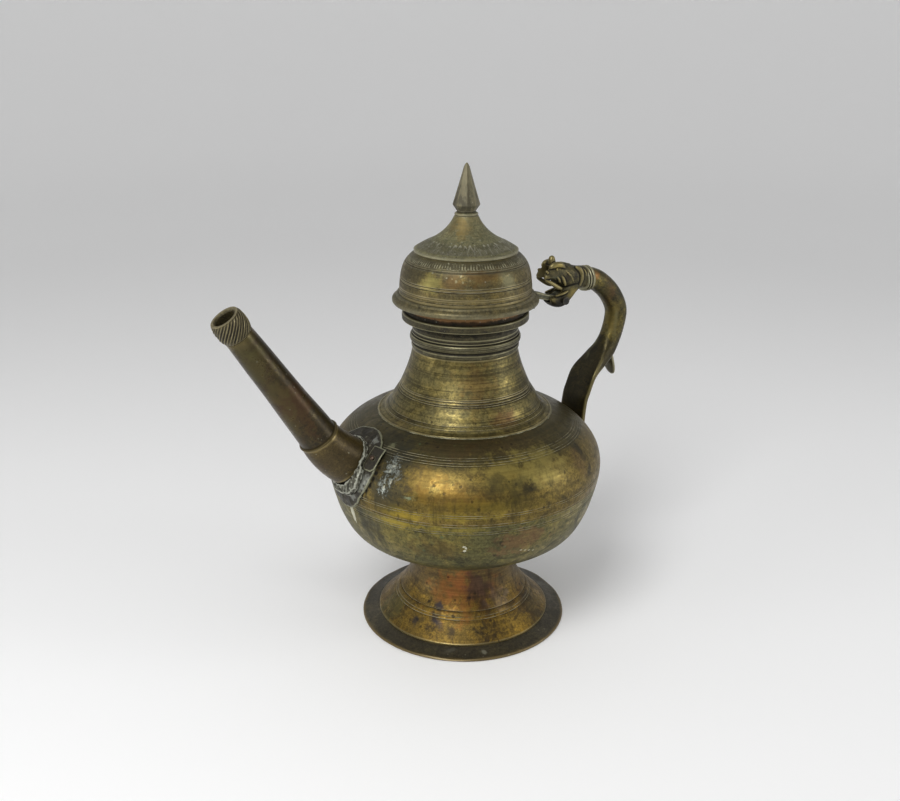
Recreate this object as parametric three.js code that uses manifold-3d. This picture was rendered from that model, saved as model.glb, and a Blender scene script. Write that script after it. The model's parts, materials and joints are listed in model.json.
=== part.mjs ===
// Covered bronze ewer with a straight spout, a hinged domed lid and an arched handle.
// Millimetres, +Z up. The spout points to -X and the handle stands at +X, both on the XZ plane.
import * as THREE from 'three';
import { mergeVertices } from 'three/addons/utils/BufferGeometryUtils.js';
import Module from 'manifold-3d';

const wasm = await Module();
wasm.setup();

// Clearances and overrun
const seat_gap = 0.3;
const cut_overrun = 6;

// Foot
const foot_radius = 63.6;
const foot_inner_radius = 45;
const flange_height = 4;
const flange_edge = 1.2;
const bell_edge_radius = 52.9;
const bell_edge_lip = 0.9;
const bell_top_radius = 31;
const bell_height = 44.7;
const bell_wall = 1.8;

// Body
const belly_radius = 82;
const lower_body_height = 54.5;
const upper_body_height = 34.8;
const body_wall = 1.8;
const body_opening_radius = 41;
const seam_drop = 6.5;

// Neck, ring and mouth
const neck_foot_radius = 51.4;
const neck_foot_edge = 1;
const neck_radius = 30.8;
const neck_height = 36.5;
const neck_wall = 2;
const neck_ring_height = 11.5;
const neck_ring_swell = 1.5;
const mouth_height = 15.2;
const mouth_flange_radius = 36.8;
const mouth_lip_radius = 34.6;
const bore_radius = 28.4;

// Lid
const lid_rim_radius = 42.4;
const lid_rim_height = 5.6;
const lid_rim_edge = 2.6;
const lid_sleeve_depth = 5;
const lid_sleeve_clearance = 0.8;
const lid_wall = 1.6;
const dome_radius = 38.3;
const dome_height = 23.6;
const crown_radius = 29.8;
const crown_height = 20.3;
const crown_lip = 1.4;
const crown_top_radius = 6.7;

// Finial
const finial_collar_height = 2.8;
const finial_collar_radius = 6.9;
const finial_radius = 7.9;
const finial_foot_height = 3.2;
const finial_height = 26.2;
const finial_tip_radius = 1.2;
const finial_sides = 8;
const finial_turn = 13;
const tang_radius = 2;
const washer_radius = 4.2;
const washer_height = 1.4;

// Spout
const spout_base_rise = 14.8;
const elbow_out = 12.6;
const elbow_up = 13.9;
const socket_base_radius = 14.3;
const socket_end_radius = 11.7;
const socket_wall = 1.7;
const bead_radius = 12.3;
const bead_length = 1.4;
const tube_elevation = 56.5;
const tube_length = 76;
const tube_base_radius = 11.1;
const tube_end_radius = 8.1;
const tube_wall = 1.6;
const knob_length = 12.6;
const knob_radius = 9.7;
const knob_wall = 2.2;
const knob_ridges = 16;
const knob_ridge_depth = 0.45;
const knob_twist = 40;

// Patch plate at the spout
const plate_radius = 23.5;
const plate_thickness = 1.2;
const tab_width = 9;
const tab_length = 15;
const tab_thickness = 0.8;
const tab_aside = 18.2;
const tab_rise = 5.7;
const tab_rivet_radius = 1.7;
const tab_rivet_height = 1.1;
const solder_width = 4.6;
const solder_height = 3.4;

// Hinge
const hinge_reach = 24.6;
const hinge_drop = 7.7;
const pin_radius = 1.6;
const pin_head_radius = 2.5;
const pin_head_height = 0.9;
const eye_radius = 4.3;
const eye_width = 5.4;
const tongue_thickness = 3.4;
const tongue_root_width = 10;
const tongue_inset = 5;
const hook_length = 7;
const hook_thickness = 3;
const hook_width = 4.4;
const lid_opening = 45;
const slot_overswing = 3;

// Dragon head
const head_length = 17.2;
const head_rise = 10.1;
const head_height = 27;
const head_width = 14.5;
const jaw_radius = 4.9;
const eye_boss_radius = 2.7;
const eye_boss_height = 1.3;
const band_radius = 8;
const band_length = 5.6;
const band_groove = 0.7;
const tenon_radius = 4;
const tenon_depth = 5;

// Handle
const arch_bulge = 30;
const arch_diameter = 13.4;
const arch_squareness = 2.2;
const strap_width = 23;
const strap_thickness = 3.2;
const strap_squareness = 6.2;
const strap_land_rise = 9.5;
const strap_foot_length = 17;
const spur_length = 14;
const spur_thickness = 3.6;
const spur_width = 11;
const rivet_radius = 1.8;
const rivet_head_radius = 3.4;
const rivet_head_height = 1.6;

// Facets
const round_sides = 28;
const tube_sides = 18;
const small_sides = 12;

// Outlines as shares of the sizes that they follow
const bell_radius_shares = [1, 0.79, 0.55, 0.39, 0.22, 0.085, 0.02, 0];
const bell_height_shares = [0, 0.1, 0.225, 0.32, 0.44, 0.59, 0.78, 1];
const lower_body_shares = [[1, 0], [0.99, 0.128], [0.961, 0.303], [0.921, 0.486], [0.85, 0.677],
  [0.744, 0.798], [0.61, 0.903], [0.488, 0.955], [0.378, 0.985], [0.19, 1], [0, 1]];
const upper_body_shares = [[1, 0], [0.995, 0.158], [0.971, 0.33], [0.923, 0.503], [0.85, 0.675],
  [0.762, 0.812], [0.68, 0.9], [0.61, 0.95], [0.549, 0.98], [0.5, 1]];
const neck_profile_shares = [[0.82, 0.05], [0.67, 0.14], [0.56, 0.25], [0.385, 0.4], [0.25, 0.56],
  [0.14, 0.71], [0.05, 0.87], [0, 1]];
const ring_profile_shares = [[0, 0], [0.4, 0.22], [0.1, 0.36], [0.75, 0.46], [1, 0.57], [0.75, 0.68],
  [0.1, 0.79], [0, 1]];
const dome_profile_shares = [[1, 0], [0.995, 0.2], [0.97, 0.5], [0.925, 0.72], [0.85, 0.88], [0.757, 1]];
const crown_profile_shares = [[1, 0], [0.78, 0.16], [0.5, 0.33], [0.27, 0.54], [0.1, 0.78], [0, 1]];
const mouth_step_share = 0.375;
const knob_swell_shares = [0, 0.55, 0.9, 1, 0.85, 0.5, 0];
const arch_shares = [[0.43, 0.035], [0.73, 0.116], [0.947, 0.218], [0.997, 0.306], [0.913, 0.429],
  [0.747, 0.532], [0.543, 0.594], [0.247, 0.68], [0.097, 0.795], [0.03, 0.865], [0, 1]];
const flatten_shares = [0.4, 0.66];
const spur_root_share = 0.47;
const spur_turn_share = 0.43;
const spur_width_shares = [0.9, 1, 0.86, 0.6, 0.2];
const rivet_shares = [0.3, 0.7];
const head_outline_shares = [[1, 0.1], [1, 0.64], [0.7, 0.71], [0.32, 0.76], [0.03, 0.83], [-0.14, 0.97],
  [-0.28, 1], [-0.38, 0.9], [-0.41, 0.73], [-0.57, 0.62], [-0.68, 0.48], [0.23, 0.035], [0.34, -0.13],
  [0.57, -0.12], [0.81, 0.02]];
const head_plan_shares = [[1.1, 1], [0.1, 1], [-0.25, 0.84], [-0.52, 0.6], [-0.8, 0.4]];
const head_front_shares = [[0.6, -0.25], [1, -0.12], [1, 0.5], [0.8, 0.64], [0.5, 0.76], [0.42, 1.1]];

// Heights up the stack
const bell_base_z = flange_height;
const bowl_base_z = bell_base_z + bell_height;
const belly_z = bowl_base_z + lower_body_height;
const seam_z = belly_z - seam_drop;
const shoulder_z = belly_z + upper_body_height;
const neck_top_z = shoulder_z + neck_height;
const ring_top_z = neck_top_z + neck_ring_height;
const mouth_z = ring_top_z + mouth_height;
const lid_z = mouth_z + seat_gap;
const dome_z = lid_z + lid_rim_height;
const crown_z = dome_z + dome_height;
const collar_z = crown_z + crown_height;
const finial_z = collar_z + finial_collar_height;

// Makes a vector on the XZ plane
function flat(x, z) {
  return new THREE.Vector3(x, 0, z);
}

// Makes a 2-D point of a profile: radius and height
function pt(radius, height) {
  return new THREE.Vector2(radius, height);
}

// Runs a smooth curve through the points and returns points along it
function smooth(points, steps) {
  return new THREE.SplineCurve(points).getPoints(steps);
}

// Moves an open outline sideways; a positive distance goes to the right of its direction
function offset_outline(points, distance) {
  return points.map((point, index) => {
    const before = points[Math.max(index - 1, 0)];
    const after = points[Math.min(index + 1, points.length - 1)];
    const along = after.clone().sub(before).normalize();
    return pt(point.x + along.y * distance, point.y - along.x * distance);
  });
}

// Keeps every second point of an outline, with both its ends
function coarse(points) {
  return points.filter((point, index) => index % 2 === 0 || index === points.length - 1);
}

// Radius of an outline, given from low to high, at a height
function radius_at(outline, height) {
  for (let i = 1; i < outline.length; i += 1) {
    const low = outline[i - 1];
    const high = outline[i];
    if (height <= high.y) {
      const share = (height - low.y) / (high.y - low.y);
      return low.x + (high.x - low.x) * share;
    }
  }
  return outline[outline.length - 1].x;
}

// Height of an outline at a radius, for a stretch whose radius only grows or only shrinks
function height_at(outline, radius) {
  const turned = outline.map((p) => pt(p.y, p.x));
  return radius_at(turned[0].y < turned[turned.length - 1].y ? turned : turned.reverse(), radius);
}

// Quarter outline of a low dome that stands at a height on the axis
function dome_points(base, radius, height) {
  return new THREE.EllipseCurve(0, base, radius, height, 0, Math.PI / 2).getPoints(3);
}

// Half-round outline that swells out to a radius between two heights
function swell_points(radius, low, high) {
  const half = (high - low) / 2;
  const curve = new THREE.EllipseCurve(radius - half, low + half, half, half, -Math.PI / 2, Math.PI / 2);
  return curve.getPoints(3);
}

// Revolves a closed profile, given outer side upwards, about the Z axis
function revolve(points, sides = round_sides) {
  const profile = [...points];
  const first = points[0];
  const last = points[points.length - 1];
  if (first.distanceTo(last) > 0) {
    profile.push(first.clone());
  }
  const geometry = new THREE.LatheGeometry(profile, sides);
  geometry.rotateX(Math.PI / 2);
  return geometry;
}

// Revolves a profile that starts and ends on the axis
function revolve_solid(points, sides = round_sides) {
  const geometry = new THREE.LatheGeometry(points, sides);
  geometry.rotateX(Math.PI / 2);
  return geometry;
}

// Builds a closed body from rings of points; hollow when inner rings are given
function loft(outer, inner = []) {
  const rings = [...outer, ...[...inner].reverse()];
  const count = rings[0].length;
  const places = [];
  const faces = [];
  rings.forEach((ring) => ring.forEach((p) => places.push(p.x, p.y, p.z)));
  const loops = inner.length > 0 ? rings.length : rings.length - 1;
  for (let r = 0; r < loops; r += 1) {
    const here = r * count;
    const next = ((r + 1) % rings.length) * count;
    for (let i = 0; i < count; i += 1) {
      const j = (i + 1) % count;
      faces.push(here + i, here + j, next + j);
      faces.push(here + i, next + j, next + i);
    }
  }
  if (inner.length === 0) {
    const end = (rings.length - 1) * count;
    for (let i = 1; i < count - 1; i += 1) {
      faces.push(0, i + 1, i);
      faces.push(end, end + i, end + i + 1);
    }
  }
  const geometry = new THREE.BufferGeometry();
  geometry.setAttribute('position', new THREE.Float32BufferAttribute(places, 3));
  geometry.setIndex(faces);
  return geometry;
}

// One ring of a loft: a round or squarish section across a direction on the XZ plane
function section(centre, along, half_width, half_depth, squareness, sides = tube_sides) {
  const side = new THREE.Vector3(0, 1, 0);
  const depth = new THREE.Vector3().crossVectors(along, side).normalize();
  const ring = [];
  for (let i = 0; i < sides; i += 1) {
    const angle = (i / sides) * Math.PI * 2;
    const c = Math.cos(angle);
    const s = Math.sin(angle);
    const w = Math.sign(c) * Math.abs(c) ** (2 / squareness) * half_width;
    const d = Math.sign(s) * Math.abs(s) ** (2 / squareness) * half_depth;
    ring.push(centre.clone().addScaledVector(side, w).addScaledVector(depth, d));
  }
  return ring;
}

// Turns a closed geometry into a solid that can be joined and cut
function solid(geometry) {
  const bare = geometry.clone();
  bare.deleteAttribute('normal');
  bare.deleteAttribute('uv');
  const merged = mergeVertices(bare);
  const corners = merged.index.array;
  const kept = [];
  for (let i = 0; i < corners.length; i += 3) {
    const [a, b, c] = corners.slice(i, i + 3);
    if (a !== b && b !== c && c !== a) {
      kept.push(a, b, c);
    }
  }
  return new wasm.Manifold(new wasm.Mesh({
    numProp: 3,
    vertProperties: merged.attributes.position.array,
    triVerts: new Uint32Array(kept),
  }));
}

// Turns a solid back into a geometry
function shape_of(body) {
  const mesh = body.getMesh();
  const geometry = new THREE.BufferGeometry();
  geometry.setAttribute('position', new THREE.BufferAttribute(mesh.vertProperties, 3));
  geometry.setIndex(new THREE.BufferAttribute(mesh.triVerts, 1));
  return geometry;
}

// A round bar between two places
function bar(from, to, radius, sides = small_sides) {
  const along = to.clone().sub(from);
  const geometry = new THREE.CylinderGeometry(radius, radius, along.length(), sides);
  const turn = new THREE.Quaternion().setFromUnitVectors(new THREE.Vector3(0, 1, 0), along.normalize());
  geometry.applyQuaternion(turn);
  const middle = from.clone().add(to).multiplyScalar(1 / 2);
  geometry.translate(middle.x, middle.y, middle.z);
  return geometry;
}

// Turns a part that was revolved about Z so that Z looks along a direction, and places it
function aim(geometry, direction, place) {
  const turn = new THREE.Quaternion().setFromUnitVectors(new THREE.Vector3(0, 0, 1), direction);
  geometry.applyQuaternion(turn);
  geometry.translate(place.x, place.y, place.z);
  return geometry;
}

// Extrudes an outline on the XZ plane to an even width about it
function slab(points, width, bevel = 0) {
  const shape = new THREE.Shape(points);
  const geometry = new THREE.ExtrudeGeometry(shape, {
    depth: width - bevel * 2,
    bevelEnabled: bevel > 0,
    bevelThickness: bevel,
    bevelSize: bevel,
    bevelOffset: -bevel,
    bevelSegments: 2,
    curveSegments: small_sides,
  });
  geometry.translate(0, 0, bevel - width / 2);
  geometry.rotateX(Math.PI / 2);
  return geometry;
}

// Body outline, outside, from the middle of its underside to its opening
const lower_outline = smooth(
  lower_body_shares.map(([r, down]) => pt(belly_radius * r, belly_z - lower_body_height * down)).reverse(),
  13,
);
const upper_outline = smooth(
  upper_body_shares.map(([r, up]) => pt(belly_radius * r, belly_z + upper_body_height * up)),
  12,
);
const body_outline = [...lower_outline, ...upper_outline.slice(1)];

// The part of the body outline between two heights, with its own end points
function body_stretch(low_z, high_z, distance = 0) {
  const moved = offset_outline(body_outline, distance);
  const kept = moved.filter((p) => p.y > low_z + seat_gap && p.y < high_z - seat_gap);
  return [pt(radius_at(moved, low_z), low_z), ...kept, pt(radius_at(moved, high_z), high_z)];
}

// A body-shaped block, bigger all round by a distance, used to cut what lies against the body
function body_block(distance) {
  const moved = offset_outline(body_outline, distance);
  const top = moved[moved.length - 1];
  return solid(revolve_solid([pt(0, moved[0].y), ...moved.slice(1), pt(0, top.y)]));
}

// Place and outward direction on the body outside, at a height, on the spout's or handle's side
function on_body(height, side, distance = 0) {
  const here = radius_at(body_outline, height);
  const above = radius_at(body_outline, height + seat_gap);
  const below = radius_at(body_outline, height - seat_gap);
  const slope = (above - below) / (seat_gap * 2);
  const out = flat(side, -slope).normalize();
  return { place: flat(side * here, height).addScaledVector(out, distance), out };
}

// Foot flange: a flat ring with a thin rounded edge
function foot_flange() {
  const crown = flange_height - flange_edge;
  return revolve([
    pt(foot_inner_radius, 0),
    pt(foot_radius - flange_edge / 2, 0),
    pt(foot_radius, flange_edge / 2),
    pt(foot_radius - flange_edge / 3, flange_edge),
    pt(foot_radius - crown, flange_height - crown / 3),
    pt(bell_edge_radius + flange_edge / 2, flange_height),
    pt(foot_inner_radius, flange_height),
  ]);
}

// Bell of the foot: a flaring shell from the flange up to the bowl
function foot_bell() {
  const spread = bell_edge_radius - bell_top_radius;
  const top_z = height_at(lower_outline, bell_top_radius - bell_wall) - seat_gap;
  const rise = top_z - bell_base_z - bell_edge_lip;
  const outer = bell_radius_shares.map((share, i) => pt(
    bell_top_radius + spread * share,
    bell_base_z + bell_edge_lip + rise * bell_height_shares[i],
  ));
  const inner = coarse(offset_outline(outer, -bell_wall).slice(1));
  inner[inner.length - 1].y = top_z;
  return revolve([
    pt(bell_edge_radius, bell_base_z),
    ...outer,
    ...inner.reverse(),
    pt(bell_edge_radius - bell_wall * 2, bell_base_z),
  ]);
}

// Lower bowl, up to the seam round the belly
function bowl_lower() {
  const outer = lower_outline.filter((p) => p.y < seam_z - seat_gap);
  outer.push(pt(radius_at(body_outline, seam_z), seam_z));
  const inner = coarse(offset_outline(outer, -body_wall).reverse());
  inner[0].y = seam_z;
  inner[inner.length - 1].x = 0;
  const shell = solid(revolve_solid([...outer, ...inner]));
  return shape_of(shell.subtract(rivet_holes()));
}

// Upper bowl with the shoulder, pierced for the spout and for the handle's rivets
function bowl_upper() {
  const outer = body_stretch(seam_z, shoulder_z).filter((p) => p.x > body_opening_radius);
  outer.push(pt(body_opening_radius, shoulder_z));
  const inner = coarse(offset_outline(outer, -body_wall).reverse());
  inner[0].x = body_opening_radius;
  inner[inner.length - 1].y = seam_z;
  const shell = solid(revolve([...outer, ...inner]));
  return shape_of(shell.subtract(spout_bore()).subtract(rivet_holes()));
}

// Neck: a flared skirt that lies on the shoulder and runs up into a straight neck
function neck() {
  const spread = neck_foot_radius - neck_radius;
  const foot_z = height_at(upper_outline, neck_foot_radius) + seat_gap;
  const rise = neck_top_z - foot_z;
  const outer = smooth(neck_profile_shares.map(([r, up]) => pt(
    neck_radius + spread * r,
    foot_z + rise * up,
  )), 8);
  const inside = offset_outline(outer, -neck_wall).filter((p) => p.x < body_opening_radius);
  const inner = coarse(inside.reverse());
  inner[0] = pt(bore_radius, neck_top_z);
  const under = upper_outline.filter((p) => (
    p.x < neck_foot_radius - seat_gap && p.x > body_opening_radius
  ));
  const seat = coarse(offset_outline(under, seat_gap).reverse());
  return revolve([
    pt(neck_foot_radius, foot_z),
    pt(neck_foot_radius, foot_z + neck_foot_edge),
    ...outer,
    ...inner,
    pt(body_opening_radius, shoulder_z + seat_gap),
    ...seat,
  ]);
}

// Ring of mouldings round the top of the neck
function neck_ring() {
  const outer = ring_profile_shares.map(([out, up]) => pt(
    neck_radius + neck_ring_swell * out,
    neck_top_z + neck_ring_height * up,
  ));
  return revolve([...outer, pt(bore_radius, ring_top_z), pt(bore_radius, neck_top_z)]);
}

// Mouth: a cove that flares to a flange, with an upright lip that the lid sits on
function mouth_collar() {
  const step = mouth_height * mouth_step_share;
  const cove = new THREE.QuadraticBezierCurve(
    pt(neck_radius, ring_top_z + step / 3),
    pt(neck_radius, ring_top_z + step),
    pt(mouth_flange_radius, ring_top_z + step),
  ).getPoints(4);
  const round = (mouth_flange_radius - mouth_lip_radius) / 2;
  return revolve([
    pt(neck_radius, ring_top_z),
    ...cove,
    pt(mouth_flange_radius, mouth_z - step),
    pt(mouth_flange_radius - round, mouth_z - step + round),
    pt(mouth_lip_radius, mouth_z - step + round),
    pt(mouth_lip_radius, mouth_z),
    pt(bore_radius, mouth_z),
    pt(bore_radius, ring_top_z),
  ]);
}

// Lid rim with the sleeve that goes down into the mouth
function lid_rim() {
  const sleeve_radius = bore_radius - lid_sleeve_clearance;
  const dome_inner = dome_radius - lid_wall * 2;
  return revolve([
    pt(sleeve_radius, lid_z - lid_sleeve_depth),
    pt(sleeve_radius, lid_z),
    pt(lid_rim_radius - lid_wall / 2, lid_z),
    pt(lid_rim_radius, lid_z + lid_wall / 2),
    pt(lid_rim_radius, lid_z + lid_rim_edge),
    pt(dome_radius + lid_wall, lid_z + lid_rim_height - lid_wall / 2),
    pt(dome_radius + lid_wall / 2, dome_z),
    pt(dome_inner, dome_z),
    pt(dome_inner, lid_z + lid_wall),
    pt(sleeve_radius - lid_wall, lid_z + lid_wall),
    pt(sleeve_radius - lid_wall, lid_z - lid_sleeve_depth),
  ]);
}

// Dome of the lid, open below and above
function lid_dome() {
  const outer = smooth(dome_profile_shares.map(([r, up]) => pt(
    dome_radius * r,
    dome_z + dome_height * up,
  )), 7);
  const inner = coarse(offset_outline(outer, -lid_wall).reverse());
  inner[0].y = crown_z;
  inner[inner.length - 1].y = dome_z;
  return revolve([...outer, ...inner]);
}

// Crown: a cone with hollow sides and a thin lip that overhangs the dome
function lid_crown() {
  const spread = crown_radius - crown_top_radius;
  const rise = crown_height - crown_lip;
  const outer = smooth(crown_profile_shares.map(([r, up]) => pt(
    crown_top_radius + spread * r,
    crown_z + crown_lip + rise * up,
  )), 7);
  const top_inner = crown_top_radius - lid_wall;
  const seat_inner = crown_radius - lid_wall * 2;
  const under_z = collar_z - lid_wall;
  const inner = coarse(offset_outline(outer, -lid_wall)
    .filter((p) => p.x > top_inner && p.x < seat_inner && p.y < under_z - lid_wall && p.y > crown_z)
    .reverse());
  return revolve([
    pt(crown_radius, crown_z),
    ...outer,
    pt(tang_radius + seat_gap, collar_z),
    pt(tang_radius + seat_gap, under_z),
    pt(top_inner, under_z),
    ...inner,
    pt(seat_inner, crown_z),
  ]);
}

// Collar under the finial
function finial_collar() {
  const bulge = swell_points(finial_collar_radius, collar_z, finial_z);
  const bore = tang_radius + seat_gap;
  return revolve([...bulge, pt(bore, finial_z), pt(bore, collar_z)], tube_sides);
}

// One eight-sided ring of the finial
function octagon(radius, height) {
  const ring = [];
  for (let i = 0; i < finial_sides; i += 1) {
    const angle = (i / finial_sides) * Math.PI * 2 + THREE.MathUtils.degToRad(finial_turn);
    ring.push(new THREE.Vector3(Math.cos(angle) * radius, Math.sin(angle) * radius, height));
  }
  return ring;
}

// Finial: an eight-sided spire whose tang goes down through the crown and is peened over a washer
function finial() {
  const spire = loft([
    octagon(finial_radius * 3 / 4, finial_z),
    octagon(finial_radius, finial_z + finial_foot_height),
    octagon(finial_tip_radius, finial_z + finial_height - finial_tip_radius),
    octagon(finial_tip_radius / 4, finial_z + finial_height),
  ]);
  const washer_z = collar_z - lid_wall - seat_gap * 2 - washer_height;
  const tang_end = flat(0, washer_z - washer_height);
  const tang = bar(tang_end, flat(0, finial_z + finial_foot_height), tang_radius);
  const peened = bar(tang_end, flat(0, washer_z), (tang_radius + washer_radius) / 2);
  return shape_of(solid(spire).add(solid(tang)).add(solid(peened)));
}

// Washer inside the crown
function finial_washer() {
  const top = collar_z - lid_wall - seat_gap;
  const bore = tang_radius + seat_gap;
  return revolve([
    pt(washer_radius, top - washer_height),
    pt(washer_radius, top),
    pt(bore, top),
    pt(bore, top - washer_height),
  ], tube_sides);
}

// Spout axis: the elbow leaves the body square to its wall and turns to the tube's slope
const spout_base = on_body(belly_z + spout_base_rise, -1);
const tube_slope = THREE.MathUtils.degToRad(tube_elevation);
const tube_direction = flat(-Math.cos(tube_slope), Math.sin(tube_slope));
const elbow_corner = spout_base.place.clone().addScaledVector(spout_base.out, elbow_out);
const socket_end = elbow_corner.clone().addScaledVector(tube_direction, elbow_up);
const plate_top = seat_gap + plate_thickness;
const spout_bore_radius = tube_base_radius - tube_wall;
const bead_start = seat_gap;
const tube_start = bead_start + bead_length + seat_gap;
const knob_start = tube_start + tube_length + seat_gap;

// Places a part made about Z on the spout's tube axis
function on_tube(geometry) {
  return aim(geometry, tube_direction, socket_end);
}

// Round hole through the body wall and the patch plate
function spout_bore() {
  const from = spout_base.place.clone().addScaledVector(spout_base.out, -cut_overrun * 2);
  const to = spout_base.place.clone().addScaledVector(spout_base.out, cut_overrun);
  return solid(bar(from, to, spout_bore_radius, tube_sides));
}

// Rings along the elbow, wider at the body
function elbow_rings(base_radius, end_radius) {
  const inside = spout_base.place.clone().addScaledVector(spout_base.out, -cut_overrun);
  const deep = spout_base.place.clone().addScaledVector(spout_base.out, -cut_overrun * 3);
  const path = new THREE.QuadraticBezierCurve3(inside, elbow_corner, socket_end);
  const steps = 5;
  const rings = [section(deep, spout_base.out, base_radius, base_radius, 2)];
  for (let i = 0; i <= steps; i += 1) {
    const share = i / steps;
    const bulge = Math.cos(share * Math.PI / 2);
    const radius = end_radius + (base_radius - end_radius) * bulge;
    rings.push(section(path.getPoint(share), path.getTangent(share), radius, radius, 2));
  }
  return rings;
}

// Socket: the elbow that carries the tube, trimmed to the patch plate
function spout_socket() {
  const outer = elbow_rings(socket_base_radius, socket_end_radius);
  const inner = elbow_rings(socket_base_radius - socket_wall, spout_bore_radius);
  return shape_of(solid(loft(outer, inner)).subtract(body_block(plate_top + seat_gap)));
}

// Patch plate: a round piece of sheet that follows the body
function spout_plate() {
  const from = spout_base.place.clone().addScaledVector(spout_base.out, -cut_overrun * 3);
  const to = spout_base.place.clone().addScaledVector(spout_base.out, cut_overrun);
  const disc = solid(bar(from, to, plate_radius, round_sides));
  return shape_of(disc
    .intersect(body_block(plate_top))
    .subtract(body_block(seat_gap))
    .subtract(spout_bore()));
}

// Solder round the socket, heaped up below it and on the near side
function spout_solder() {
  const count = tube_sides;
  const low = [];
  const high = [];
  for (let i = 0; i < count; i += 1) {
    const angle = (i / count) * Math.PI * 2;
    const heap = Math.max(0, Math.cos(angle - Math.PI * 5 / 4));
    const lumps = (Math.sin(angle * 5) + Math.sin(angle * 3 + 1)) / 8;
    const radius = socket_base_radius + solder_width * (1 / 4 + heap + lumps * heap);
    low.push(new THREE.Vector3(Math.cos(angle) * radius, Math.sin(angle) * radius, -cut_overrun * 3));
    high.push(new THREE.Vector3(Math.cos(angle) * radius, Math.sin(angle) * radius, cut_overrun));
  }
  const blob = solid(aim(loft([low, high]), spout_base.out, spout_base.place));
  const base_rings = elbow_rings(socket_base_radius + seat_gap, socket_end_radius + seat_gap);
  const socket = solid(loft(base_rings));
  const shell = body_block(plate_top + solder_height).subtract(body_block(plate_top + seat_gap));
  return shape_of(blob.intersect(shell).subtract(socket).subtract(solid(spout_tab_block())));
}

// Place of the tab's middle beside the spout, and its turn about the vessel's axis
function tab_seat() {
  const seat = on_body(spout_base.place.z + tab_rise, -1);
  return { ...seat, turn: Math.asin(tab_aside / -seat.place.x) };
}

// Outline of the tab on the patch plate, as a block across its thickness
function spout_tab_block(grow = seat_gap) {
  const half_width = tab_width / 2 + grow;
  const half_length = tab_length / 2 + grow;
  const corner = tab_width / 4;
  const shape = new THREE.Shape();
  shape.moveTo(-half_length, -half_width);
  shape.lineTo(half_length - corner, -half_width);
  shape.lineTo(half_length, corner - half_width);
  shape.lineTo(half_length, half_width - corner);
  shape.lineTo(half_length - corner, half_width);
  shape.lineTo(-half_length, half_width);
  const geometry = new THREE.ExtrudeGeometry(shape, { depth: cut_overrun * 2, bevelEnabled: false });
  geometry.translate(0, 0, -cut_overrun);
  const seat = tab_seat();
  geometry.rotateZ(Math.PI);
  aim(geometry, seat.out, seat.place);
  geometry.rotateZ(seat.turn);
  return geometry;
}

// Line of the tab's rivet, between two distances from the body
function tab_rivet_line(low, high) {
  const seat = tab_seat();
  const from = seat.place.clone().addScaledVector(seat.out, low);
  const to = seat.place.clone().addScaledVector(seat.out, high);
  from.applyAxisAngle(new THREE.Vector3(0, 0, 1), seat.turn);
  to.applyAxisAngle(new THREE.Vector3(0, 0, 1), seat.turn);
  return [from, to];
}

// Tab riveted over the plate's near edge
function spout_tab() {
  const low = plate_top + seat_gap;
  const shell = body_block(low + tab_thickness).subtract(body_block(low));
  const socket = solid(loft(elbow_rings(socket_base_radius + seat_gap, socket_end_radius + seat_gap)));
  const [from, to] = tab_rivet_line(0, cut_overrun);
  const hole = solid(bar(from, to, tab_rivet_radius / 2 + seat_gap));
  return shape_of(solid(spout_tab_block(0)).intersect(shell).subtract(socket).subtract(hole));
}

// Rivet of the tab: a low dome on a short shank
function tab_rivet() {
  const low = plate_top + seat_gap * 2;
  const under = seat_gap + tab_thickness;
  const geometry = revolve_solid([
    pt(0, 0),
    pt(tab_rivet_radius / 2, 0),
    pt(tab_rivet_radius / 2, under),
    ...dome_points(under, tab_rivet_radius, tab_rivet_height),
  ], small_sides);
  const [from, to] = tab_rivet_line(low, cut_overrun);
  return aim(geometry, to.sub(from).normalize(), from);
}

// Raised ring between the socket and the tube
function spout_bead() {
  const geometry = revolve([
    ...swell_points(bead_radius, bead_start, bead_start + bead_length),
    pt(spout_bore_radius, bead_start + bead_length),
    pt(spout_bore_radius, bead_start),
  ], tube_sides);
  return on_tube(geometry);
}

// Straight tapering tube
function spout_tube() {
  const geometry = revolve([
    pt(tube_base_radius, tube_start),
    pt(tube_end_radius, tube_start + tube_length),
    pt(tube_end_radius - tube_wall, tube_start + tube_length),
    pt(tube_base_radius - tube_wall, tube_start),
  ], tube_sides);
  return on_tube(geometry);
}

// Mouth of the spout: a hollow knob with twisted ridges
function spout_knob() {
  const per_ridge = 3;
  const count = knob_ridges * per_ridge;
  const rings = knob_swell_shares.map((swell, k) => {
    const share = k / (knob_swell_shares.length - 1);
    const twist = THREE.MathUtils.degToRad(knob_twist) * share;
    const radius = tube_end_radius + (knob_radius - tube_end_radius) * swell;
    const ring = [];
    for (let i = 0; i < count; i += 1) {
      const angle = (i / count) * Math.PI * 2;
      const ridge = swell * knob_ridge_depth * Math.cos(angle * knob_ridges);
      const turned = angle + twist;
      ring.push(new THREE.Vector3(
        Math.cos(turned) * (radius + ridge),
        Math.sin(turned) * (radius + ridge),
        knob_start + knob_length * share,
      ));
    }
    return ring;
  });
  const bores = [0, 1].map((share) => {
    const ring = [];
    for (let i = 0; i < count; i += 1) {
      const angle = (i / count) * Math.PI * 2 + THREE.MathUtils.degToRad(knob_twist) * share;
      const radius = tube_end_radius - tube_wall + (tube_wall - knob_wall) * share;
      ring.push(new THREE.Vector3(
        Math.cos(angle) * radius,
        Math.sin(angle) * radius,
        knob_start + knob_length * share,
      ));
    }
    return ring;
  });
  return on_tube(loft(rings, bores));
}

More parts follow.
